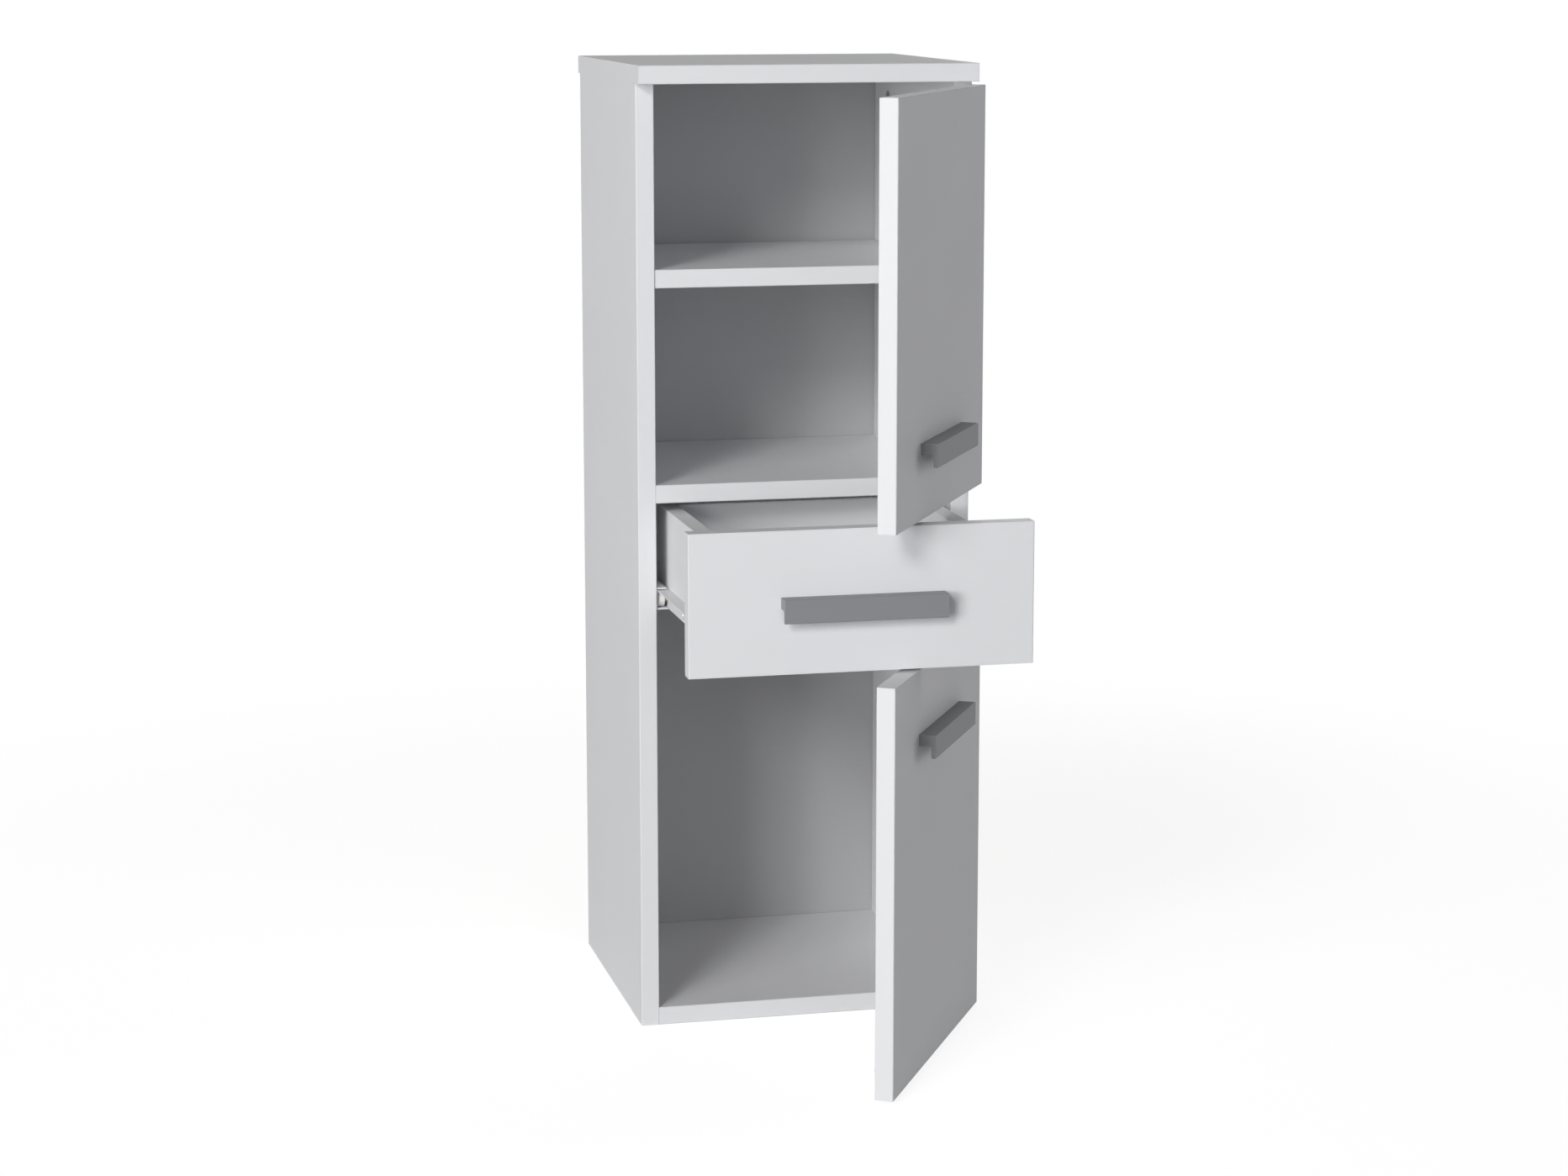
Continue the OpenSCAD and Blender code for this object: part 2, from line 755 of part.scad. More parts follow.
// A hinge cup in the closed door: bowl, flange with two screw wings, and cheeks that hold the pin
module hinge_cup() {
    mouth_gap = 1.5;
    strap_gap = 0.5;
    mouth_w = hinge_arm_w + 2 * cheek_gap;
    mouth_x = arm_web_x - hinge_sheet_t - mouth_gap;
    cheek_in = 4;
    cheek_x = cup_x + cup_d / 2 - cheek_in;
    cheek_low = 1.6;
    difference() {
        union() {
            translate([cup_x, closed_y - cup_depth, 0]) rod_y(cup_d, cup_depth + cup_flange_t);
            translate([cup_x, closed_y, 0]) rod_y(cup_d + 2 * cup_ring, cup_flange_t);
            translate([cup_x - cup_wing_w / 2, closed_y, -cup_wing_h / 2])
                cube([cup_wing_w, cup_flange_t, cup_wing_h]);
        }
        translate([cup_x, closed_y - cup_depth + cup_wall, 0])
            rod_y(cup_d - 2 * cup_wall, cup_depth + cup_flange_t);
        translate([mouth_x, axis_y + eye_r - hinge_sheet_t - strap_gap, -mouth_w / 2])
            cube([side_x - mouth_x, axis_front + eye_r, mouth_w]);
        translate([axis_x, axis_y, -mouth_w / 2]) cylinder(r = eye_r + strap_gap, h = mouth_w);
        for (s = [-1, 1]) translate([cup_x, closed_y - through, s * cup_screw_pitch / 2])
            rod_y(screw_d + play, cup_flange_t + 2 * through);
    }
    for (s = [-1, 1])
        translate([0, 0, s * (mouth_w + cheek_t) / 2 - cheek_t / 2]) linear_extrude(cheek_t)
            difference() {
                union() {
                    translate([axis_x, axis_y]) circle(r = eye_r);
                    translate([cheek_x, axis_y - cheek_low])
                        square([axis_x - cheek_x, cheek_low + axis_front - front_gap]);
                }
                translate([axis_x, axis_y]) circle(d = hinge_pin_d + play);
            }
}

module hinge_cups(door_z) {
    color(bright_steel) hung() for (z = hinge_heights(door_z)) translate([0, 0, z]) hinge_cup();
}

module upper_hinge_cups() {
    hinge_cups(upper_door_z);
}

module lower_hinge_cups() {
    hinge_cups(lower_door_z);
}

module hinge_pins(door_z) {
    length = hinge_arm_w + 2 * (cheek_gap + cheek_t);
    color(bright_steel) hung() for (z = hinge_heights(door_z))
        translate([axis_x, axis_y, z - length / 2]) cylinder(d = hinge_pin_d, h = length);
}

module upper_hinge_pins() {
    hinge_pins(upper_door_z);
}

module lower_hinge_pins() {
    hinge_pins(lower_door_z);
}

module cup_screws(door_z) {
    color(bright_steel) hung() for (z = hinge_heights(door_z), s = [-1, 1])
        translate([cup_x, closed_y + cup_flange_t, z + s * cup_screw_pitch / 2]) {
            translate([0, -cup_screw_len - cup_flange_t + play, 0])
                rod_y(screw_d, cup_screw_len + cup_flange_t);
            rod_y(cup_screw_head_d, cup_screw_head_t);
        }
}

module upper_cup_screws() {
    cup_screws(upper_door_z);
}

module lower_cup_screws() {
    cup_screws(lower_door_z);
}

// Heights at which dowels and the cam bolt join a drawer side to the drawer front
drawer_dowel_zs = [box_z + drawer_dowel_end, box_z + box_h - drawer_dowel_end];
drawer_cam_z = box_z + box_h / 2;
box_mid_x = box_x - box_t / 2;
box_end_y = closed_y + box_len;

module drawer_front() {
    color(board_white) pulled() difference() {
        front_board(drawer_front_z, drawer_front_h, drawer_handle_z);
        both_sides() {
            for (z = drawer_dowel_zs) translate([box_mid_x, closed_y - dowel_bite - play, z])
                rod_y(dowel_d + play, dowel_bite + play + through);
            translate([box_mid_x, closed_y - cam_bolt_in - play, drawer_cam_z])
                rod_y(cam_bolt_d + play, cam_bolt_in + play + through);
        }
        translate([-box_x + box_t - groove_depth, closed_y - groove_depth, bottom_panel_z - play])
            cube([box_inner_w + 2 * groove_depth, groove_depth + through, groove_h]);
    }
}

// The right side of the drawer. The runner hangs on its outer face.
module drawer_side() {
    difference() {
        translate([box_x - box_t, closed_y, box_z]) board([box_t, box_len, box_h], "y");
        translate([box_x - box_t - through, closed_y - through, bottom_panel_z - play])
            cube([groove_depth + through, box_len + 2 * through, groove_h]);
        for (z = drawer_dowel_zs) translate([box_mid_x, closed_y - through, z])
            rod_y(dowel_d + play, dowel_len - dowel_bite + play + through);
        translate([box_mid_x, closed_y - through, drawer_cam_z])
            rod_y(cam_bolt_d + 2 * cam_play, cam_reach + through);
        translate([box_x - box_cam_depth, closed_y + cam_reach, drawer_cam_z])
            rod_x(cam_d + play, box_cam_depth + through);
        for (z = box_screw_zs) translate([box_x - box_t - through, box_end_y - box_t / 2, z])
            rod_x(box_screw_d + play, box_t + 2 * through);
        for (y = drawer_rail_screw_ys) translate([box_x - screw_len, closed_y + y, drawer_screw_z])
            rod_x(screw_d + play, screw_len + through);
    }
}

module drawer_left_side() {
    color(board_white) pulled() mirror([1, 0, 0]) drawer_side();
}

module drawer_right_side() {
    color(board_white) pulled() drawer_side();
}

module drawer_back() {
    bite = box_screw_len - box_t;
    color(board_white) pulled() difference() {
        translate([-box_inner_w / 2, box_end_y - box_t, drawer_back_z])
            board([box_inner_w, box_t, box_z + box_h - drawer_back_z], "x");
        both_sides() for (z = box_screw_zs)
            translate([box_inner_w / 2 - bite - play, box_end_y - box_t / 2, z])
                rod_x(box_screw_d + play, bite + play + through);
    }
}

module drawer_bottom() {
    reach = groove_depth - bottom_slack;
    color(board_white) pulled()
        translate([-box_inner_w / 2 - reach, closed_y - reach, bottom_panel_z])
            cube([box_inner_w + 2 * reach, box_len + reach - 2 * bottom_slack, drawer_bottom_t]);
}

module drawer_handle() {
    color(satin_grey) pulled() handle(drawer_handle_z);
}

module drawer_handle_screws() {
    color(bright_steel) pulled() handle_screws(drawer_handle_z);
}

module drawer_bumpers() {
    color(clear_plastic) pulled() both_sides()
        translate([front_w / 2 - bumper_in, closed_y, drawer_front_z + drawer_front_h / 2])
            bumper();
}

module drawer_dowels() {
    color(beech) pulled() both_sides() for (z = drawer_dowel_zs)
        translate([box_mid_x, closed_y - dowel_bite, z]) rod_y(dowel_d, dowel_len);
}

module drawer_cam_bolts() {
    color(bright_steel) pulled() both_sides()
        translate([box_mid_x, closed_y + cam_reach, drawer_cam_z])
            rotate([0, 0, -90]) cam_bolt(cam_reach);
}

module drawer_cam_locks() {
    color(bright_steel) pulled() both_sides()
        translate([box_x, closed_y + cam_reach, drawer_cam_z])
            rotate([90, 0, -90]) cam_lock(box_t / 2, box_cam_depth);
}

// Screws that hold the drawer's back between its sides, their heads flush in the outer faces
module drawer_box_screws() {
    color(bright_steel) pulled() both_sides() for (z = box_screw_zs)
        translate([box_x - box_screw_len, box_end_y - box_t / 2, z])
            rod_x(box_screw_d, box_screw_len);
}

// The runner fixed to the right side panel: a channel whose lower flange carries the rear roller
module cabinet_rail() {
    length = box_len;
    start_y = front_y + rail_lead;
    web_x = inner_x - rail_t;
    difference() {
        union() {
            translate([web_x, start_y, rail_floor_z]) cube([rail_t, length, cabinet_rail_h]);
            translate([inner_x - cabinet_flange_w, start_y, rail_floor_z])
                cube([cabinet_flange_w, length, rail_t]);
            translate([inner_x - cabinet_top_w, start_y, rail_floor_z + cabinet_rail_h - rail_t])
                cube([cabinet_top_w, length, rail_t]);
        }
        for (y = rail_screw_ys) translate([web_x - through, front_y + y, front_roller_z])
            rod_x(screw_d + play, rail_t + 2 * through);
        translate([web_x - through, front_y + front_roller_y, front_roller_z])
            rod_x(axle_d + play, rail_t + 2 * through);
    }
}

module cabinet_rail_left() {
    color(enamel_white) mirror([1, 0, 0]) cabinet_rail();
}

module cabinet_rail_right() {
    color(enamel_white) cabinet_rail();
}

module cabinet_rail_screws() {
    color(bright_steel) both_sides() for (y = rail_screw_ys)
        translate([inner_x - rail_t, front_y + y, front_roller_z])
            screw_x(screw_d, screw_len, screw_head_d, screw_head_t);
}

// The runner on the drawer's right side: it wraps the side's lower edge, and its top flange
// reaches out over the cabinet's front roller
module drawer_rail() {
    length = box_len - rail_lead;
    start_y = closed_y + rail_lead;
    difference() {
        union() {
            translate([box_x, start_y, box_z - rail_t]) cube([rail_t, length, drawer_rail_h + rail_t]);
            translate([box_x - drawer_foot_w, start_y, box_z - rail_t])
                cube([drawer_foot_w + rail_t, length, rail_t]);
            translate([box_x, start_y, drawer_flange_z])
                cube([rail_t + flange_reach, length, rail_t]);
        }
        for (y = drawer_rail_screw_ys) translate([box_x - through, closed_y + y, drawer_screw_z])
            rod_x(screw_d + play, rail_t + 2 * through);
        translate([box_x - through, rear_axle_y, rear_roller_z])
            rod_x(axle_d + play, rail_t + 2 * through);
    }
}

module drawer_rail_left() {
    color(enamel_white) pulled() mirror([1, 0, 0]) drawer_rail();
}

module drawer_rail_right() {
    color(enamel_white) pulled() drawer_rail();
}

module drawer_rail_screws() {
    color(bright_steel) pulled() both_sides() for (y = drawer_rail_screw_ys)
        translate([box_x + rail_t, closed_y + y, drawer_screw_z]) mirror([1, 0, 0])
            screw_x(screw_d, screw_len, screw_head_d, screw_head_t);
}

// A nylon roller with its axis along X and its middle at the origin
module roller() {
    half = roller_w / 2;
    hub_wall = 1.3;
    rim_wall = 1.6;
    bore_r = axle_d / 2 + running_gap;
    hub_r = bore_r + hub_wall;
    rim_r = roller_r - rim_wall;
    dish = 1.6;
    edge = 0.7;
    rotate([0, 90, 0]) rotate_extrude($fn = 64) polygon([[bore_r, -half], [hub_r, -half],
        [hub_r, -half + dish], [rim_r, -half + dish], [rim_r, -half], [roller_r - edge, -half],
        [roller_r, -half + edge], [roller_r, half - edge], [roller_r - edge, half], [rim_r, half],
        [rim_r, half - dish], [hub_r, half - dish], [hub_r, half], [bore_r, half]]);
}

module front_roller() {
    translate([front_roller_x, front_y + front_roller_y, front_roller_z]) roller();
}

module rear_roller() {
    translate([rear_roller_x, rear_axle_y, rear_roller_z]) roller();
}

module front_roller_left() {
    color(nylon_white) mirror([1, 0, 0]) front_roller();
}

module front_roller_right() {
    color(nylon_white) front_roller();
}

module rear_roller_left() {
    color(nylon_white) pulled() mirror([1, 0, 0]) rear_roller();
}

module rear_roller_right() {
    color(nylon_white) pulled() rear_roller();
}

// A roller's axle along +X from the web that it is riveted to, with a head outside the roller
module axle() {
    length = rail_t + roller_in + roller_w + axle_end_gap;
    collar_d = axle_d * 1.5;
    rod_x(axle_d, length + axle_head_t);
    translate([rail_t, 0, 0]) rod_x(collar_d, roller_in - axle_end_gap);
    translate([length, 0, 0]) rod_x(collar_d, axle_head_t);
}

module front_roller_axles() {
    color(bright_steel) both_sides()
        translate([inner_x, front_y + front_roller_y, front_roller_z]) mirror([1, 0, 0]) axle();
}

module rear_roller_axles() {
    color(bright_steel) pulled() both_sides()
        translate([box_x, rear_axle_y, rear_roller_z]) axle();
}

left_side();
right_side();
bottom_board();
middle_board();
top_board();
shelf();
back_panel();
shelf_pins();
dowels();
cam_bolts();
cam_locks();
back_nails();
upper_door();
lower_door();
upper_door_handle();
lower_door_handle();
upper_handle_screws();
lower_handle_screws();
upper_door_bumpers();
lower_door_bumpers();
hinge_plates();
hinge_plate_screws();
hinge_arms();
hinge_arm_screws();
upper_hinge_cups();
lower_hinge_cups();
upper_hinge_pins();
lower_hinge_pins();
upper_cup_screws();
lower_cup_screws();
drawer_front();
drawer_left_side();
drawer_right_side();
drawer_back();
drawer_bottom();
drawer_handle();
drawer_handle_screws();
drawer_bumpers();
drawer_dowels();
drawer_cam_bolts();
drawer_cam_locks();
drawer_box_screws();
cabinet_rail_left();
cabinet_rail_right();
cabinet_rail_screws();
front_roller_axles();
front_roller_left();
front_roller_right();
drawer_rail_left();
drawer_rail_right();
drawer_rail_screws();
rear_roller_axles();
rear_roller_left();
rear_roller_right();
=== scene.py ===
"""A freestanding bathroom cabinet in white melamine board: its fittings, finishes and studio.

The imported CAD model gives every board, rail, hinge and handle. This script turns real screws,
bumpers and dowels, gives every piece its finish, and sets the camera, the lamps and the floor.
"""

import json
import logging
import math
from collections.abc import Mapping, Sequence
from dataclasses import dataclass
from enum import Enum

import bpy
import numpy as np
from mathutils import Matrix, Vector


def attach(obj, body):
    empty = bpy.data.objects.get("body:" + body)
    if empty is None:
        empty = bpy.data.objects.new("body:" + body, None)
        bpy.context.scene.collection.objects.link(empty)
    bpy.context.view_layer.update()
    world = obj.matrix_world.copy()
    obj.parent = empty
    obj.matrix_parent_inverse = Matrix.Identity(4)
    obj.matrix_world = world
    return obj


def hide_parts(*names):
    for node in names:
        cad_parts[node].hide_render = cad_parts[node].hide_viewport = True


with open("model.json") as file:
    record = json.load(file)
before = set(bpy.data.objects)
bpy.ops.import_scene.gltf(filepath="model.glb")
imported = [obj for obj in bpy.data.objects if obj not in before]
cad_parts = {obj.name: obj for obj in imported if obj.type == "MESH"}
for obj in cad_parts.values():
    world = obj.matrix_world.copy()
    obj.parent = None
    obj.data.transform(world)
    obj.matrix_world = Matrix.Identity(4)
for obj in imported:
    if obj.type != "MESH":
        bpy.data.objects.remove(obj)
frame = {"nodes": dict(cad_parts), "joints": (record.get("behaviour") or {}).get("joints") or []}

MM = 0.001
Colour = tuple[float, float, float]
WHITE: Colour = (1.0, 1.0, 1.0)
# Vertices of a CAD mesh that lie closer than this are one corner of its solid.
WELD = 0.001 * MM
# Faces of a new piece that meet at more than this angle have a crisp edge between them.
CRISP = math.radians(38)
# A direction that rises more steeply than this counts as upright.
UPRIGHT = 0.9
# A noise swings round this value, and it is each one's share where two are mixed evenly.
HALF = 0.5
# A Mix node has sockets of one name for numbers and for colours, so these give the colours' places.
MIX_FIRST = 6
MIX_SECOND = 7
MIX_RESULT = 2
log = logging.getLogger("cabinet")


class Face(Enum):
    """One of a board's six faces: the axis that it crosses and the end of that axis."""

    LEFT = (0, -1)
    RIGHT = (0, 1)
    FRONT = (1, -1)
    BACK = (1, 1)
    BELOW = (2, -1)
    ABOVE = (2, 1)


class Aim(Enum):
    """Where a screw's tip points."""

    RIGHT = "to the right side panel"
    OUTWARD = "away from the middle of the cabinet, to either side"
    INWARD = "towards the middle of the cabinet, from either side"
    FORWARD = "out of the inner face of a door or a drawer front"


class Layers(Enum):
    """How many finer layers a noise has."""

    BROAD = 1.0
    SOFT = 2.0
    FINE = 3.0
    FINEST = 4.0


class Wire:
    """An output of a shader node. Python's operators on it add Math nodes."""

    def __init__(self, bench: "Bench", node: bpy.types.Node, output: str | int) -> None:
        """Holds the node and says which of its outputs is meant.

        Args:
            bench: the bench that the node stands on.
            node: the node.
            output: the output's name or place.
        """
        self.bench = bench
        self.node = node
        self.output = output

    @property
    def socket(self) -> bpy.types.NodeSocket:
        """The output's socket."""
        return self.node.outputs[self.output]

    def _math(self, operation: str, *values: "Wire | float") -> "Wire":
        """Adds one Math node.

        Args:
            operation: the Math node's operation.
            values: its inputs, in order.

        Returns:
            The node's output.
        """
        return self.bench.node("ShaderNodeMath", {"operation": operation}, dict(enumerate(values)))

    def __add__(self, other: "Wire | float") -> "Wire":
        """This value plus another."""
        return self._math("ADD", self, other)

    __radd__ = __add__

    def __sub__(self, other: "Wire | float") -> "Wire":
        """This value less another."""
        return self._math("SUBTRACT", self, other)

    def __rsub__(self, other: float) -> "Wire":
        """A number less this value."""
        return self._math("SUBTRACT", other, self)

    def __mul__(self, other: "Wire | float") -> "Wire":
        """This value times another."""
        return self._math("MULTIPLY", self, other)

    __rmul__ = __mul__

    def __abs__(self) -> "Wire":
        """The value without its sign."""
        return self._math("ABSOLUTE", self)

    def __gt__(self, other: "Wire | float") -> "Wire":
        """1 where this value is the larger, and 0 elsewhere."""
        return self._math("GREATER_THAN", self, other)

    def __lt__(self, other: "Wire | float") -> "Wire":
        """1 where this value is the smaller, and 0 elsewhere."""
        return self._math("LESS_THAN", self, other)

    def least(self, other: "Wire | float") -> "Wire":
        """The smaller of two values."""
        return self._math("MINIMUM", self, other)

    def most(self, other: "Wire | float") -> "Wire":
        """The larger of two values."""
        return self._math("MAXIMUM", self, other)

    def mixed(self, other: "Wire", share: float) -> "Wire":
        """A share of this value and the rest of another."""
        return self * share + other * (1 - share)


class Bench:
    """Builds the nodes of one material, or of the world."""

    def __init__(self, owner: bpy.types.Material | bpy.types.World) -> None:
        """Clears the owner's nodes.

        Args:
            owner: the material or the world that the nodes belong to.
        """
        self.owner = owner
        owner.use_nodes = True
        self.tree = owner.node_tree
        self.tree.nodes.clear()

    @classmethod
    def material(cls, name: str) -> "Bench":
        """A bench for a new material."""
        return cls(bpy.data.materials.new(name))

    def node(self, kind: str, settings: Mapping[str, object] | None = None,
             sockets: Mapping[str | int, object] | None = None, output: str | int = 0) -> Wire:
        """Adds one node of any kind.

        Args:
            kind: the node's type.
            settings: its own settings, or the stops of a colour ramp.
            sockets: numbers, colours or wires for its inputs, by name or by place.
            output: the output that is wanted.

        Returns:
            That output.
        """
        made = self.tree.nodes.new(kind)
        for key, value in (settings or {}).items():
            if key == "stops":
                self._set_stops(made.color_ramp, value)
            else:
                setattr(made, key, value)
        for key, value in (sockets or {}).items():
            if isinstance(value, Wire):
                self.tree.links.new(value.socket, made.inputs[key])
            else:
                made.inputs[key].default_value = value
        return Wire(self, made, output)

    @staticmethod
    def _set_stops(ramp: bpy.types.ColorRamp, stops: Sequence[tuple[float, Colour]]) -> None:
        """Gives a colour ramp its stops.

        Args:
            ramp: the ramp of a Color Ramp node.
            stops: pairs of a place from 0 to 1 and a colour.
        """
        while len(ramp.elements) < len(stops):
            ramp.elements.new(1.0)
        for element, (place, colour) in zip(ramp.elements, stops):
            element.position = place
            element.color = (*colour, 1.0)

    def blend(self, factor: Wire, first: object, second: object) -> Wire:
        """Mixes two colours: the first where the factor is 0, the second where it is 1."""
        return self.node("ShaderNodeMix", {"data_type": "RGBA"}, {
            0: factor, MIX_FIRST: first, MIX_SECOND: second}, MIX_RESULT)

    def place(self) -> Wire:
        """The point's own place on its piece, in metres."""
        return self.node("ShaderNodeTexCoord", output="Object")

    def facing(self) -> Wire:
        """The direction that the surface faces on its own piece."""
        return self.node("ShaderNodeTexCoord", output="Normal")

    def turned_back(self, vector: Wire, pivot: "Pivot", stretch: float = 1.0) -> Wire:
        """A place or a direction as it lies with the piece closed, measured from the pivot.

        Args:
            vector: the place or the direction.
            pivot: the axis that the piece stands turned round.
            stretch: how far a pattern read there is drawn out along the closed piece.

        Returns:
            The vector in the closed piece's own frame.
        """
        return self.node("ShaderNodeMapping", {"vector_type": "TEXTURE"}, {
            "Vector": vector, "Location": (pivot.x, pivot.y, 0), "Rotation": (0, 0, pivot.angle),
            "Scale": (stretch, 1, 1)})

    def split(self, vector: Wire) -> list[Wire]:
        """The three parts of a vector."""
        parts = self.node("ShaderNodeSeparateXYZ", sockets={0: vector})
        return [Wire(self, parts.node, axis) for axis in range(3)]

    def noise(self, vector: Wire, grain: float, layers: Layers = Layers.SOFT) -> Wire:
        """Smooth noise from 0 to 1.

        Args:
            vector: the place to read it at.
            grain: the size of its spots, in metres.
            layers: how many finer layers it has.

        Returns:
            The noise's value.
        """
        return self.node("ShaderNodeTexNoise", sockets={
            "Vector": vector, "Scale": 1 / grain, "Detail": layers.value})

    def bump(self, height: Wire, depth: float) -> Wire:
        """A normal that stands for small relief of the given depth, in metres."""
        return self.node("ShaderNodeBump", sockets={
            "Height": height, "Distance": depth, "Strength": 1.0})

    def finish(self, sockets: Mapping[str, object]) -> bpy.types.Material:
        """Adds the Principled shader and the output.

        Args:
            sockets: numbers, colours or wires for the shader's inputs.

        Returns:
            The finished material.
        """
        self.output(self.node("ShaderNodeBsdfPrincipled", sockets=sockets))
        return self.owner

    def output(self, shader: Wire) -> None:
        """Links a shader to the output of the material or the world."""
        kind = "World" if isinstance(self.owner, bpy.types.World) else "Material"
        self.node(f"ShaderNodeOutput{kind}", sockets={"Surface": shader})


def opaque(colour: Colour, share: float = 1.0) -> tuple[float, float, float, float]:
    """A share of a colour with a full alpha, as colour sockets take it."""
    return (*(share * part for part in colour), 1.0)


@dataclass(frozen=True)
class Pivot:
    """An upright axis that a piece is turned round as drawn.

    Attributes:
        x: the axis's place to the right, in metres.
        y: its place to the back, in metres.
        angle: how far the piece stands turned from its closed place, in radians.
    """

    x: float = 0.0
    y: float = 0.0
    angle: float = 0.0

    def closed(self, points: np.ndarray) -> np.ndarray:
        """Points as they lie with the piece closed, measured from the axis.

        Each point is taken from the axis and turned back by the angle.

        Args:
            points: an array of places, one row each.

        Returns:
            The array in the closed piece's own frame.
        """
        c, s = math.cos(self.angle), math.sin(self.angle)
        x, y = points[:, 0] - self.x, points[:, 1] - self.y
        return np.column_stack([c * x + s * y, c * y - s * x, points[:, 2]])

    def turned(self, direction: Sequence[float]) -> np.ndarray:
        """Turns a direction of the closed piece with it, as it stands.

        Args:
            direction: the direction on the closed piece.

        Returns:
            The direction as it points with the piece standing turned.
        """
        c, s = math.cos(self.angle), math.sin(self.angle)
        x, y, z = direction
        return np.array([c * x - s * y, s * x + c * y, z])


def vertices(node: str) -> np.ndarray:
    """Reads the places of a CAD node's vertices.

    Args:
        node: the CAD node's name.

    Returns:
        An array with a row for each vertex, in metres.
    """
    mesh = frame["nodes"][node].data
    flat = np.empty(len(mesh.vertices) * 3, np.float32)
    mesh.vertices.foreach_get("co", flat)
    return flat.reshape(-1, 3).astype(float)


def solids(node: str) -> list[np.ndarray]:
    """Splits a CAD node into its separate solids.

    Vertices at one place share a label, and so do the corners of a triangle. Labels fall to the
    lowest one in reach until none changes.

    Args:
        node: the CAD node's name.

    Returns:
        One array of places for each solid.
    """
    mesh = frame["nodes"][node].data
    points = vertices(node)
    corners = np.empty(len(mesh.loops), np.int32)
    mesh.loops.foreach_get("vertex_index", corners)
    steps = np.round(points / WELD).astype(np.int64)
    _, spot = np.unique(steps, axis=0, return_inverse=True)
    faces = spot.ravel()[corners].reshape(-1, 3)
    label = np.arange(spot.max() + 1)
    while True:
        lowest = label[faces].min(axis=1)
        new = label.copy()
        for column in range(3):
            np.minimum.at(new, faces[:, column], lowest)
        new = new[new]
        if np.array_equal(new, label):
            break
        label = new
    of_point = label[spot.ravel()]
    return [points[of_point == one] for one in np.unique(of_point)]


def cover(node: str, material: bpy.types.Material) -> None:
    """Gives a CAD node one material on every slot.

    Args:
        node: the CAD node's name.
        material: the finish.
    """
    slots = frame["nodes"][node].data.materials
    slots.clear()
    slots.append(material)


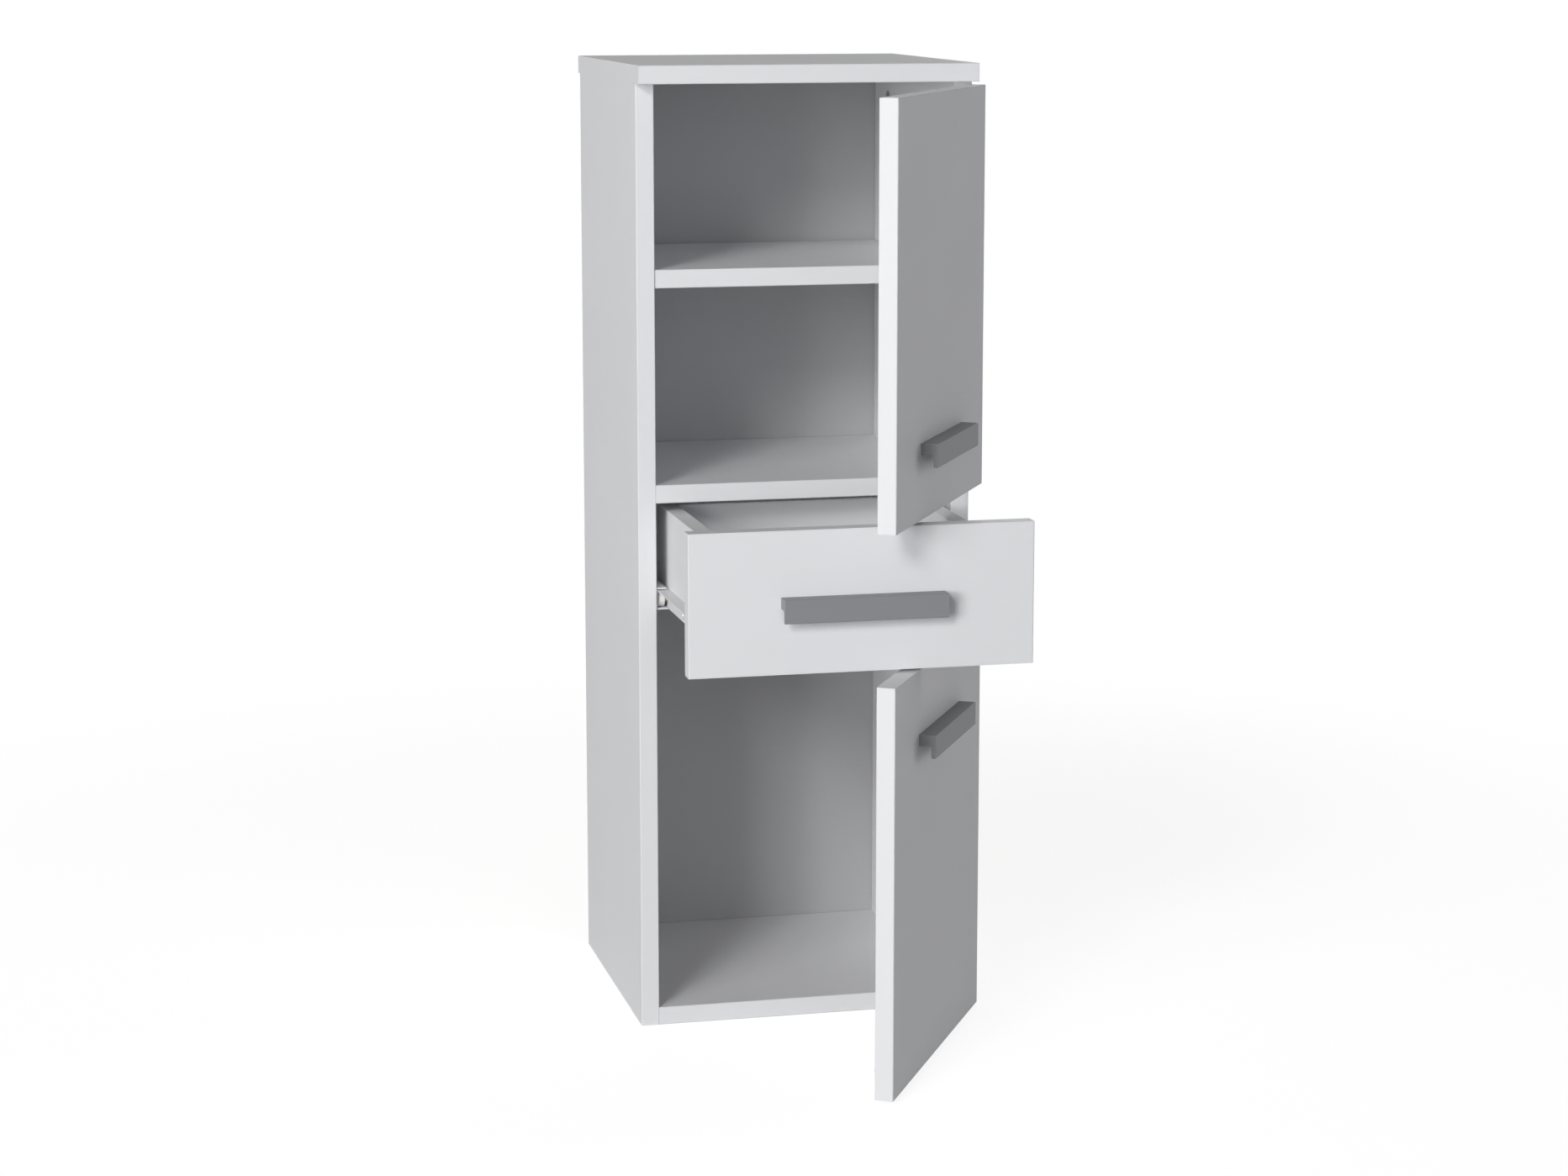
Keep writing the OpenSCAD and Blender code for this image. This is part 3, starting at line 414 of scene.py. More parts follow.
@dataclass(frozen=True)
class Melamine:
    """White melamine film and edge tape on chipboard, which shows in the bores and on bare edges.

    Attributes:
        white: the film's colour.
        shine: its roughness.
        gloss: how strongly it mirrors, where 0.5 is plain plastic.
        film: how deep a surface lies before it counts as the wall of a bore, in metres.
        bare_way: how far a face has to point one way to count as bare there, from 0 to 1.
        tape: distance of the tape's seam from the taped edge, in metres.
        tape_way: how far a face may point the tape's way and still show its seam, from 0 to 1.
        seam: half the width of the seam, in metres.
        seam_grey: the seam's colour.
        seam_share: how much of it shows.
        cloud: the size of the film's faint clouds, in metres.
        cloud_share: the share of the white that a cloud leaves.
        swing: how far the roughness swings in the clouds.
        pearl: the size of the film's fine embossing, in metres.
        emboss: its height, as a share of the relief.
        relief: the depth of bare chipboard's relief, in metres.
        rough: bare chipboard's roughness.
        chip: the size of a wood chip, in metres.
        fibre: the size of the fibres in it, in metres.
        chip_share: how much of the wood's tone the chips give, where the fibres give the rest.
        wood: the colours of the chips, from dark to pale, each with its place from 0 to 1.
    """

    white: Colour = (0.80, 0.804, 0.818)
    shine: float = 0.55
    gloss: float = 0.25
    film: float = 0.8 * MM
    bare_way: float = 0.6
    tape: float = 0.95 * MM
    tape_way: float = 0.5
    seam: float = 0.07 * MM
    seam_grey: Colour = (0.42, 0.42, 0.43)
    seam_share: float = 0.35
    cloud: float = 90 * MM
    cloud_share: float = 0.985
    swing: float = 0.08
    pearl: float = 0.9 * MM
    emboss: float = 0.04
    relief: float = 0.15 * MM
    rough: float = 0.85
    chip: float = 1.6 * MM
    fibre: float = 0.6 * MM
    chip_share: float = 0.6
    wood: tuple[tuple[float, Colour], ...] = (
        (0.15, (0.17, 0.10, 0.05)), (0.5, (0.36, 0.24, 0.13)), (0.85, (0.55, 0.41, 0.25)))

    def material(self, name: str, node: str, pivot: Pivot, taped: Sequence[Face],
                 bare: Sequence[Face]) -> bpy.types.Material:
        """The finish of one board.

        Args:
            name: the material's name.
            node: the board's CAD node.
            pivot: the axis that the board stands turned round.
            taped: the edges that carry edge tape.
            bare: the faces with no film.

        Returns:
            The material.
        """
        closed = pivot.closed(vertices(node))
        low, high = closed.min(axis=0), closed.max(axis=0)
        bench = Bench.material(name)
        place = bench.turned_back(bench.place(), pivot)
        facing = bench.turned_back(bench.facing(), Pivot(angle=pivot.angle))
        along, normal = bench.split(place), bench.split(facing)
        depth = {face: self._depth(along, face, low, high) for face in Face}
        inside = depth[Face.LEFT]
        for face in list(Face)[1:]:
            inside = inside.least(depth[face])
        core = inside > self.film
        for face in bare:
            axis, end = face.value
            core = core.most((normal[axis] * end > self.bare_way) * (depth[face] < self.film))
        seams = 0.0
        for face in taped:
            axis, _ = face.value
            at_seam = abs(depth[face] - self.tape) < self.seam
            line = at_seam * (abs(normal[axis]) < self.tape_way)
            seams = line.most(seams)
        cloud = bench.noise(place, self.cloud, Layers.FINE)
        pearl = bench.noise(place, self.pearl, Layers.BROAD) * self.emboss
        white = bench.blend(cloud, opaque(self.white), opaque(self.white, self.cloud_share))
        if taped:
            white = bench.blend(seams * self.seam_share, white, opaque(self.seam_grey))
        chips, grain = self._chipboard(bench, place)
        shine = cloud * self.swing + (self.shine - self.swing * HALF)
        return bench.finish({
            "Base Color": bench.blend(core, white, chips),
            "Roughness": core * (self.rough - self.shine) + shine,
            "Specular IOR Level": self.gloss,
            "Normal": bench.bump(pearl + core * (grain - pearl), self.relief),
        })

    @staticmethod
    def _depth(along: Sequence[Wire], face: Face, low: np.ndarray, high: np.ndarray) -> Wire:
        """How far a point lies below one face of the board.

        Args:
            along: the point's place along each axis.
            face: the face.
            low: the board's lowest corner.
            high: its highest corner.

        Returns:
            The depth, in metres.
        """
        axis, end = face.value
        if end > 0:
            return float(high[axis]) - along[axis]
        return along[axis] - float(low[axis])

    def _chipboard(self, bench: Bench, place: Wire) -> tuple[Wire, Wire]:
        """Pressed wood chips.

        Args:
            bench: the material's bench.
            place: the point's place on the board.

        Returns:
            The chips' colour and their relief.
        """
        chips = bench.node("ShaderNodeTexVoronoi", sockets={
            "Vector": place, "Scale": 1 / self.chip}, output="Color")
        chip = bench.split(chips)[0]
        tone = chip.mixed(bench.noise(place, self.fibre, Layers.FINE), self.chip_share)
        return bench.node("ShaderNodeValToRGB", {"stops": self.wood}, {0: tone}), tone


@dataclass(frozen=True)
class Hardboard:
    """Thin fibreboard with white lacquer on one face, its white greyed down here as painted shade.

    Attributes:
        lacquered: the white face.
        white_way: how far a face has to point that way to carry lacquer, from 0 to 1.
        white: the lacquer's colour, kept grey as painted shade for the dim insides of the cabinet.
        brown: the fibreboard's colour.
        dark_share: the share of the brown that is left in its darkest spots.
        rough: the fibreboard's roughness.
        smooth: how much smoother the lacquer is.
        swing: how far the roughness swings in the clouds.
        fibre: the size of the fibres, in metres.
        fibre_share: how much of the tone the fibres give, where the clouds give the rest.
        cloud: the size of the paler and darker clouds, in metres.
        relief: the depth of the fibreboard's relief, in metres.
        height: the fibres' height, as a share of the relief.
        filled: how much of that the lacquer fills.
    """

    lacquered: Face
    white_way: float = 0.8
    # Light grey rather than white: painted shade for the dim insides, on the back panel and the
    # drawer's bottom.
    white: Colour = (0.48, 0.484, 0.49)
    brown: Colour = (0.34, 0.215, 0.12)
    dark_share: float = 0.72
    rough: float = 0.78
    smooth: float = 0.3
    swing: float = 0.06
    fibre: float = 1.2 * MM
    fibre_share: float = 0.7
    cloud: float = 45 * MM
    relief: float = 0.12 * MM
    height: float = 0.5
    filled: float = 0.42

    def material(self, name: str) -> bpy.types.Material:
        """The finish of one thin panel.

        Args:
            name: the material's name.

        Returns:
            The material.
        """
        bench = Bench.material(name)
        place = bench.place()
        axis, end = self.lacquered.value
        normal = bench.split(bench.facing())[axis]
        lacquer = normal * end > self.white_way
        fibre = bench.noise(place, self.fibre, Layers.FINEST)
        cloud = bench.noise(place, self.cloud, Layers.FINE)
        tone = fibre.mixed(cloud, self.fibre_share)
        brown = bench.blend(tone, opaque(self.brown, self.dark_share), opaque(self.brown))
        return bench.finish({
            "Base Color": bench.blend(lacquer, brown, opaque(self.white)),
            "Roughness": self.rough - lacquer * self.smooth + cloud * self.swing,
            "Normal": bench.bump(fibre * (self.height - lacquer * self.filled), self.relief),
        })


@dataclass(frozen=True)
class Speckle:
    """A plain finish with fine grain in its colour, shine and relief.

    Attributes:
        colour: the colour.
        shine: the roughness.
        metal: 1 for bare metal, 0 for a coat or a plastic.
        grain: the size of the grain, in metres.
        relief: the depth of the grain, in metres.
        cloud: the size of the clouds, in grains.
        vary: how far the colour darkens in the grain and the clouds.
        shine_vary: how far the roughness swings.
        cloud_share: how much of that the clouds give, where the grain gives the rest.
        extra: further fixed inputs of the shader.
    """

    colour: Colour
    shine: float
    metal: float = 0.0
    grain: float = 0.5 * MM
    relief: float = 0.01 * MM
    cloud: float = 30.0
    vary: float = 0.05
    shine_vary: float = 0.08
    cloud_share: float = 0.6
    extra: tuple[tuple[str, object], ...] = ()

    def material(self, name: str) -> bpy.types.Material:
        """The finish as a material.

        Args:
            name: the material's name.

        Returns:
            The material.
        """
        bench = Bench.material(name)
        place = bench.place()
        grain = bench.noise(place, self.grain, Layers.FINE)
        cloud = bench.noise(place, self.cloud * self.grain, Layers.SOFT)
        dark = opaque(self.colour, 1 - self.vary)
        swing = cloud.mixed(grain, self.cloud_share) - HALF
        return bench.finish({
            "Base Color": bench.blend(grain.mixed(cloud, HALF), dark, opaque(self.colour)),
            "Roughness": swing * self.shine_vary + self.shine,
            "Metallic": self.metal,
            "Normal": bench.bump(grain, self.relief),
            **dict(self.extra),
        })


@dataclass(frozen=True)
class Satin:
    """Grey satin anodising on extruded aluminium, with faint lines along its length.

    Attributes:
        colour: the colour.
        shine: the roughness.
        gloss: how strongly it mirrors, where 0.5 is plain plastic.
        line: the width of the lines, in metres.
        stretch: how many times longer than wide they are.
        line_share: how much of the tone they give.
        line_swing: how far the roughness swings in them.
        line_height: their height, as a share of the relief, where the fine grain has the rest.
        blast: the size of the fine grain between them, in metres.
        blast_share: how much of the tone it gives, where the clouds give the rest.
        cloud: the size of the faint clouds, in metres.
        cloud_swing: how far the roughness swings in them.
        vary: how far the colour swings either way.
        relief: the depth of the lines, in metres.
    """

    colour: Colour = (0.26, 0.265, 0.275)
    shine: float = 0.42
    gloss: float = 0.15
    line: float = 0.35 * MM
    stretch: float = 60.0
    line_share: float = 0.5
    line_swing: float = 0.06
    line_height: float = 0.7
    blast: float = 0.25 * MM
    blast_share: float = 0.2
    cloud: float = 35 * MM
    cloud_swing: float = 0.04
    vary: float = 0.04
    relief: float = 0.0015 * MM

    def material(self, name: str, pivot: Pivot) -> bpy.types.Material:
        """The finish of one handle.

        Args:
            name: the material's name.
            pivot: the axis that the handle stands turned round.

        Returns:
            The material.
        """
        bench = Bench.material(name)
        place = bench.place()
        line = bench.noise(bench.turned_back(place, pivot, self.stretch), self.line, Layers.SOFT)
        blast = bench.noise(place, self.blast, Layers.FINE)
        cloud = bench.noise(place, self.cloud, Layers.SOFT)
        cloud_share = 1 - self.line_share - self.blast_share
        tone = line * self.line_share + blast * self.blast_share + cloud * cloud_share
        least = self.shine - (self.line_swing + self.cloud_swing) * HALF
        dark, pale = opaque(self.colour, 1 - self.vary), opaque(self.colour, 1 + self.vary)
        return bench.finish({
            "Base Color": bench.blend(tone, dark, pale),
            "Roughness": line * self.line_swing + cloud * self.cloud_swing + least,
            "Specular IOR Level": self.gloss,
            "Normal": bench.bump(line.mixed(blast, self.line_height), self.relief),
        })


@dataclass(frozen=True)
class Beech:
    """Turned beech with short dark flecks along the grain.

    Attributes:
        pale: the wood between the flecks.
        dark: the flecks.
        fleck: the width of a fleck, in metres.
        ring: the width of a year's ring, in metres.
        fleck_share: how much of the tone the flecks give, where the rings give the rest.
        rough: the roughness in the flecks.
        rougher: how much rougher the wood between them is.
        draw: the share of the flecks' closeness that is left along the grain.
        relief: the depth of the grain, in metres.
    """

    pale: Colour = (0.62, 0.42, 0.24)
    dark: Colour = (0.40, 0.24, 0.12)
    fleck: float = 0.7 * MM
    ring: float = 4 * MM
    fleck_share: float = 0.6
    rough: float = 0.55
    rougher: float = 0.2
    draw: float = 0.15
    relief: float = 0.05 * MM

    def material(self, name: str) -> bpy.types.Material:
        """The finish as a material, its grain drawn out along the depth of the cabinet.

        Args:
            name: the material's name.

        Returns:
            The material.
        """
        bench = Bench.material(name)
        place = bench.place()
        drawn_out = bench.node("ShaderNodeMapping", sockets={
            "Vector": place, "Scale": (1, self.draw, 1)})
        fleck = bench.noise(drawn_out, self.fleck, Layers.FINE)
        ring = bench.noise(drawn_out, self.ring, Layers.SOFT)
        tone = fleck.mixed(ring, self.fleck_share)
        return bench.finish({
            "Base Color": bench.blend(tone, opaque(self.dark), opaque(self.pale)),
            "Roughness": self.rough + fleck * self.rougher,
            "Normal": bench.bump(fleck, self.relief),
        })


def add_piece(name: str, parts: Sequence[tuple[np.ndarray, np.ndarray]], body: str,
              replaced: str, material: bpy.types.Material) -> bpy.types.Object:
    """Makes one piece from several closed surfaces and hangs it on its body.

    Args:
        name: the piece's name.
        parts: pairs of an array of places and an array of four-cornered faces.
        body: the body that it rides on.
        replaced: the CAD node that it stands for.
        material: the finish.

    Returns:
        The new object.
    """
    starts = np.cumsum([0] + [len(points) for points, _ in parts[:-1]])
    points = np.vstack([points for points, _ in parts])
    faces = np.vstack([quads + start for (_, quads), start in zip(parts, starts)])
    mesh = bpy.data.meshes.new(name)
    mesh.from_pydata(points.tolist(), [], faces.tolist())
    mesh.validate()
    mesh.shade_smooth()
    mesh.set_sharp_from_angle(angle=CRISP)
    mesh.materials.append(material)
    made = bpy.data.objects.new(name, mesh)
    bpy.context.scene.collection.objects.link(made)
    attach(made, body)
    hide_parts(replaced)
    log.info("%s: %d parts, %d faces", name, len(parts), len(faces))
    return made


def turned_surface(centre: np.ndarray, aim: np.ndarray, radius: np.ndarray,
                   along: np.ndarray) -> tuple[np.ndarray, np.ndarray]:
    """A closed surface round an axis.

    The point for step i along the profile and step j round the axis lies at the centre, plus
    along[i, j] times the aim, plus radius[i, j] times the direction at angle j. The first and last
    rings have no radius, so they close the ends. The faces point away from the axis.

    Args:
        centre: the start of the axis.
        aim: the axis's direction.
        radius: distances from the axis, a row for each ring.
        along: distances along the axis, in the same shape.

    Returns:
        The places and the four-cornered faces.
    """
    rings, steps = radius.shape
    side = np.cross(aim, [1.0, 0.0, 0.0] if abs(aim[2]) >= UPRIGHT else [0.0, 0.0, 1.0])
    side = side / np.linalg.norm(side)
    other = np.cross(aim, side)
    angle = np.arange(steps) * 2 * np.pi / steps
    spoke = np.cos(angle)[:, None] * side + np.sin(angle)[:, None] * other
    points = centre + along[..., None] * aim + radius[..., None] * spoke
    inner = points[1:-1].reshape(-1, 3)
    ends = np.vstack([points[0].mean(axis=0), points[-1].mean(axis=0)])
    index = np.arange((rings - 2) * steps).reshape(rings - 2, steps)
    beside = np.roll(index, -1, axis=1)
    walls = np.stack([index[:-1], beside[:-1], beside[1:], index[1:]], axis=-1).reshape(-1, 4)
    first, last = len(inner), len(inner) + 1
    pairs = index[0].reshape(-1, 2)
    after = np.roll(pairs[:, 0], -1)
    cap = np.stack([np.full(len(pairs), first), after, pairs[:, 1], pairs[:, 0]], axis=-1)
    pairs = index[-1].reshape(-1, 2)
    after = np.roll(pairs[:, 0], -1)
    tip = np.stack([np.full(len(pairs), last), pairs[:, 0], pairs[:, 1], after], axis=-1)
    return np.vstack([inner, ends]), np.vstack([walls, cap, tip])


def all_round(profile: Sequence[float], steps: int) -> np.ndarray:
    """A profile that is the same all round the axis, as turned_surface takes it."""
    return np.repeat(np.asarray(profile, float)[:, None], steps, axis=1)


@dataclass(frozen=True)
class Screw:
    """A screw's form, apart from the diameters and the length, which the CAD solid gives.

    Attributes:
        pitch: the thread's pitch, in metres.
        thread: the thread's depth, in metres.
        crown: how much of the head's height is domed, from 0 to 1.
        slot_w: width of the cross recess, in metres.
        slot_deep: its depth, in metres.
        pointed: whether the tip tapers to a point.
        slot_slope: width of its sloping walls, in metres.
        slot_reach: how far its arms reach, as a share of the head's radius.
        slot_end: length of the slope at an arm's end, as a share of the same.
        bend: how much of a quarter circle's fall the dome has, from 0 to 1.
        rings: the places of the head's rings, as shares of its radius.
        steps: points round each ring.
        neck: length of the plain neck under the head, in metres.
        start: how far under the head the thread's first ring lies, in metres.
        blunt: how far its last ring lies before the tip, in metres.
        per_pitch: rings in each pitch.
        fade: in how many pitches the thread reaches its full depth.
        point: in how many pitches a pointed tip narrows.
        point_share: the share of the radius that a pointed tip keeps.
        flush: height of the plain end of a screw that has no head, in metres.
        head_step: how much wider than its shank a head is at least, in metres.
        tip_zone: how near the tip a vertex shows the shank's radius, in metres.
        rim_zone: how near the widest radius a vertex shows the head's height, in metres.
    """

    pitch: float = 1.6 * MM
    thread: float = 0.45 * MM
    crown: float = 0.6
    slot_w: float = 1.0 * MM
    slot_deep: float = 1.1 * MM
    pointed: bool = True
    slot_slope: float = 0.25 * MM
    slot_reach: float = 0.5
    slot_end: float = 0.12
    bend: float = 0.96
    rings: tuple[float, ...] = (0.0, 0.06, 0.12, 0.2, 0.28, 0.36, 0.42, 0.48, 0.56, 0.7, 0.85, 1.0)
    steps: int = 48
    neck: float = 0.4 * MM
    start: float = 0.8 * MM
    blunt: float = 0.3 * MM
    per_pitch: int = 5
    fade: float = 2.0
    point: float = 3.0
    point_share: float = 0.25
    flush: float = 2.5 * MM
    head_step: float = 0.3 * MM
    tip_zone: float = 0.2 * MM
    rim_zone: float = 0.05 * MM

    def surface(self, solid: np.ndarray, aim: np.ndarray) -> tuple[np.ndarray, np.ndarray]:
        """The screw's surface: a domed head with a cross recess, and a threaded shank.

        Across the head the height falls from the middle to the rim as a circle's arc does. The
        recess is cut where a point lies within half the slot's width of either arm, with walls that
        slope. Along the shank the radius falls by the thread's depth and rises again once in each
        pitch, and the place of the ridge moves on by one pitch in each turn.

        Args:
            solid: the vertices of the CAD screw.
            aim: the direction from the head to the tip.

        Returns:
            The places and the four-cornered faces.
        """
        middle = (solid.min(axis=0) + solid.max(axis=0)) / 2
        reach = (solid - middle) @ aim
        away = np.linalg.norm(solid - middle - reach[:, None] * aim, axis=1)
        top, tip = reach.min(), reach.max()
        shank = away[reach > tip - self.tip_zone].max()
        rim = away.max()
        headed = rim > shank + self.head_step
        seat = reach[away > rim - self.rim_zone].max() if headed else top + self.flush
        angle = np.arange(self.steps) * 2 * np.pi / self.steps
        share = np.array(self.rings)
        height = (seat - top) * (self.crown if headed else 0.0)
        drop = height * (1 - np.sqrt(np.clip(1 - self.bend * share ** 2, 0, 1)))
        head_r = all_round(rim * share, self.steps)
        head_z = all_round(top + drop, self.steps) + self._recess(head_r, angle, rim)
        collar = [(rim, seat)] if headed else []
        collar += [(shank, seat), (shank, seat + self.neck)]
        collar_r, collar_z = (all_round(row, self.steps) for row in zip(*collar))
        rows = np.arange(seat + self.start, tip - self.blunt, self.pitch / self.per_pitch)
        turn = rows[:, None] / self.pitch - angle / (2 * np.pi)
        ridge = 1 - np.abs(2 * (turn % 1) - 1)
        full = np.clip((rows - seat) / (self.fade * self.pitch), 0, 1)[:, None]
        shank_r = shank - self.thread * (1 - ridge) * full
        if self.pointed:
            left = (tip - rows) / (self.point * self.pitch)
            shank_r = shank_r * np.clip(left, self.point_share, 1)[:, None]
        end_r, end_z = all_round([0.0], self.steps), all_round([tip], self.steps)
        radius = np.vstack([head_r, collar_r, shank_r, end_r])
        along = np.vstack([head_z, collar_z, all_round(rows, self.steps), end_z])
        return turned_surface(middle, aim, radius, along)

    def _recess(self, radius: np.ndarray, angle: np.ndarray, rim: float) -> np.ndarray:
        """How deep the cross recess is at each point of the head.

        Args:
            radius: the points' distances from the axis.
            angle: their angles round it.
            rim: the head's radius.

        Returns:
            The depths, in metres.
        """
        across, down = np.abs(radius * np.cos(angle)), np.abs(radius * np.sin(angle))
        inside = self.slot_w / 2 - np.minimum(across, down)
        wall = np.clip((inside + self.slot_slope / 2) / self.slot_slope, 0, 1)
        end = np.clip((self.slot_reach * rim - radius) / (self.slot_end * rim), 0, 1)
        return self.slot_deep * wall * end


@dataclass
class ScrewSet:
    """The screws of one CAD node.

    Attributes:
        node: the CAD node that they stand for.
        body: the body that they ride on.
        aim: where their tips point.
        form: their form.
        pivot: the axis that they stand turned round.
    """

    node: str
    body: str
    aim: Aim
    form: Screw
    pivot: Pivot = Pivot()

    def direction(self, solid: np.ndarray) -> np.ndarray:
        """The direction from head to tip of one screw.

        Args:
            solid: the screw's vertices.

        Returns:
            A direction of length 1.
        """
        side = math.copysign(1.0, solid[:, 0].mean())
        choices = {
            Aim.RIGHT: (1.0, 0.0, 0.0),
            Aim.OUTWARD: (side, 0.0, 0.0),
            Aim.INWARD: (-side, 0.0, 0.0),
            Aim.FORWARD: self.pivot.turned((0.0, -1.0, 0.0)),
        }
        return np.array(choices[self.aim])

    def build(self, material: bpy.types.Material) -> None:
        """Makes the screws as one piece in place of the CAD node.

        Args:
            material: the finish.
        """
        parts = [self.form.surface(solid, self.direction(solid)) for solid in solids(self.node)]
        add_piece(f"{self.node}_cut", parts, self.body, self.node, material)


@dataclass
class BumperSet:
    """Clear domed bumpers on the inner face of a door or the drawer front.

    Attributes:
        node: the CAD node that they stand for.
        body: the body that they ride on.
        pivot: the axis that they stand turned round.
        foot: height of the straight rim under the dome, as a share of the whole.
        base: radius of the face that is stuck on, as a share of the rim's.
        bevel: height of the bevel between that face and the rim, in metres.
        rings: rings of the dome.
        steps: points round each ring.
    """

    node: str
    body: str
    pivot: Pivot = Pivot()
    foot: float = 0.3
    base: float = 0.96
    bevel: float = 0.08 * MM
    rings: int = 9
    steps: int = 36

    def build(self, material: bpy.types.Material) -> None:
        """Makes the bumpers as one piece in place of the CAD node.

        Each is a disc with a straight rim and a dome whose height falls as a flat ellipse's arc
        does.

        Args:
            material: the finish.
        """
        out = self.pivot.turned((0.0, 1.0, 0.0))
        parts = []
        for solid in solids(self.node):
            middle = (solid.min(axis=0) + solid.max(axis=0)) / 2
            reach = (solid - middle) @ out
            away = np.linalg.norm(solid - middle - reach[:, None] * out, axis=1)
            low, high, rim = reach.min(), reach.max(), away.max()
            arc = np.linspace(0, np.pi / 2, self.rings)
            dome_r = rim * np.cos(arc)
            dome_z = low + (high - low) * (self.foot + (1 - self.foot) * np.sin(arc))
            radius = np.concatenate([[0, rim * self.base, rim], dome_r])
            along = np.concatenate([[low, low, low + self.bevel], dome_z])
            parts.append(turned_surface(middle, out, all_round(radius, self.steps),
                                        all_round(along, self.steps)))
        add_piece(f"{self.node}_domed", parts, self.body, self.node, material)


@dataclass
class DowelSet:
    """Fluted beech dowels with tapered ends.

    Attributes:
        node: the CAD node that they stand for.
        body: the body that they ride on.
        flutes: number of flutes round a dowel.
        per_flute: points round each flute.
        groove: depth of a flute, in metres.
        taper: length of each tapered end, in metres.
        end: the share of the radius that is left at the very end.
    """

    node: str
    body: str
    flutes: int = 16
    per_flute: int = 4
    groove: float = 0.3 * MM
    taper: float = 1.2 * MM
    end: float = 0.75

    def build(self, material: bpy.types.Material) -> None:
        """Makes the dowels as one piece in place of the CAD node.

        The radius falls by the groove's depth and rises again once for each flute, as a cosine
        does, and shrinks over the taper at each end.

        Args:
            material: the finish.
        """
        parts = []
        for solid in solids(self.node):
            low, high = solid.min(axis=0), solid.max(axis=0)
            axis = int(np.argmax(high - low))
            aim = np.eye(3)[axis]
            half = (high - low)[axis] / 2
            rim = np.delete(high - low, axis).max() / 2
            steps = self.per_flute * self.flutes
            angle = np.arange(steps) * 2 * np.pi / steps
            flute = 1 - self.groove / rim * (1 - np.cos(self.flutes * angle)) / 2
            along = np.array([-half, -half, self.taper - half, half - self.taper, half, half])
            share = np.array([0, self.end, 1, 1, self.end, 0])
            parts.append(turned_surface((low + high) / 2, aim, rim * share[:, None] * flute,
                                        all_round(along, steps)))
        add_piece(f"{self.node}_fluted", parts, self.body, self.node, material)


@dataclass(frozen=True)
class Finishes:
    """The finishes that the whole cabinet shares."""

    board: Melamine = Melamine()
    # Both thin panels take the grey lacquer, which is painted shade for the dim insides of the
    # cabinet.
    panel: Hardboard = Hardboard(Face.FRONT)
    tray: Hardboard = Hardboard(Face.ABOVE)
    handle: Satin = Satin()
    zinc: Speckle = Speckle((0.62, 0.64, 0.67), 0.30, metal=1.0, grain=0.8 * MM, relief=0.004 * MM,
                            shine_vary=0.16)
    cast: Speckle = Speckle((0.48, 0.49, 0.50), 0.45, metal=1.0, grain=0.3 * MM, relief=0.02 * MM)
    enamel: Speckle = Speckle((0.78, 0.785, 0.80), 0.42, grain=0.45 * MM, relief=0.012 * MM,
                              vary=0.02)
    nylon: Speckle = Speckle((0.80, 0.80, 0.78), 0.40, grain=0.6 * MM, relief=0.006 * MM, vary=0.03,
                             extra=(("Subsurface Weight", 0.15), ("Subsurface Scale", 1.5 * MM)))
    clear: Speckle = Speckle((0.92, 0.93, 0.93), 0.12, grain=0.9 * MM, relief=0.003 * MM, vary=0.02,
                             extra=(("Transmission Weight", 0.85), ("IOR", 1.46)))
    beech: Beech = Beech()


class Workshop:
    """Makes each shared material once, and hands it out by name."""

    def __init__(self, finishes: Finishes) -> None:
        """Makes the shared materials.

        Args:
            finishes: the finishes to make them from.
        """
        self.finishes = finishes
        plain = ("panel", "tray", "zinc", "cast", "enamel", "nylon", "clear", "beech")
        self.ready = {name: getattr(finishes, name).material(f"{name}_finish") for name in plain}

    def board(self, node: str, taped: Sequence[Face], bare: Sequence[Face] = (),
              pivot: Pivot = Pivot()) -> None:
        """Dresses one melamine board.

        Args:
            node: the board's CAD node.
            taped: the edges that carry edge tape.
            bare: the faces with no film.
            pivot: the axis that the board stands turned round.
        """
        cover(node, self.finishes.board.material(f"{node}_board", node, pivot, taped, bare))

    def handle(self, node: str, pivot: Pivot = Pivot()) -> None:
        """Dresses one handle.

        Args:
            node: the handle's CAD node.
            pivot: the axis that the handle stands turned round.
        """
        cover(node, self.finishes.handle.material(f"{node}_satin", pivot))

    def dress(self, finish: str, *nodes: str) -> None:
        """Gives CAD nodes one of the shared materials.

        Args:
            finish: the material's name among the finishes.
            nodes: the nodes' names.
        """
        for node in nodes:
            cover(node, self.ready[finish])
        log.info("%s finish on %s", finish, ", ".join(nodes))


WOOD_SCREW = Screw()
PANEL_SCREW = Screw(pitch=2.2 * MM, thread=0.6 * MM, slot_w=1.2 * MM, slot_deep=1.8 * MM)
MACHINE_SCREW = Screw(pitch=0.7 * MM, thread=0.3 * MM, crown=0.7, slot_w=1.3 * MM,
                      slot_deep=1.2 * MM, pointed=False)
CUP_SCREW = Screw(pitch=1.4 * MM, crown=0.9, slot_w=0.9 * MM, slot_deep=0.9 * MM)


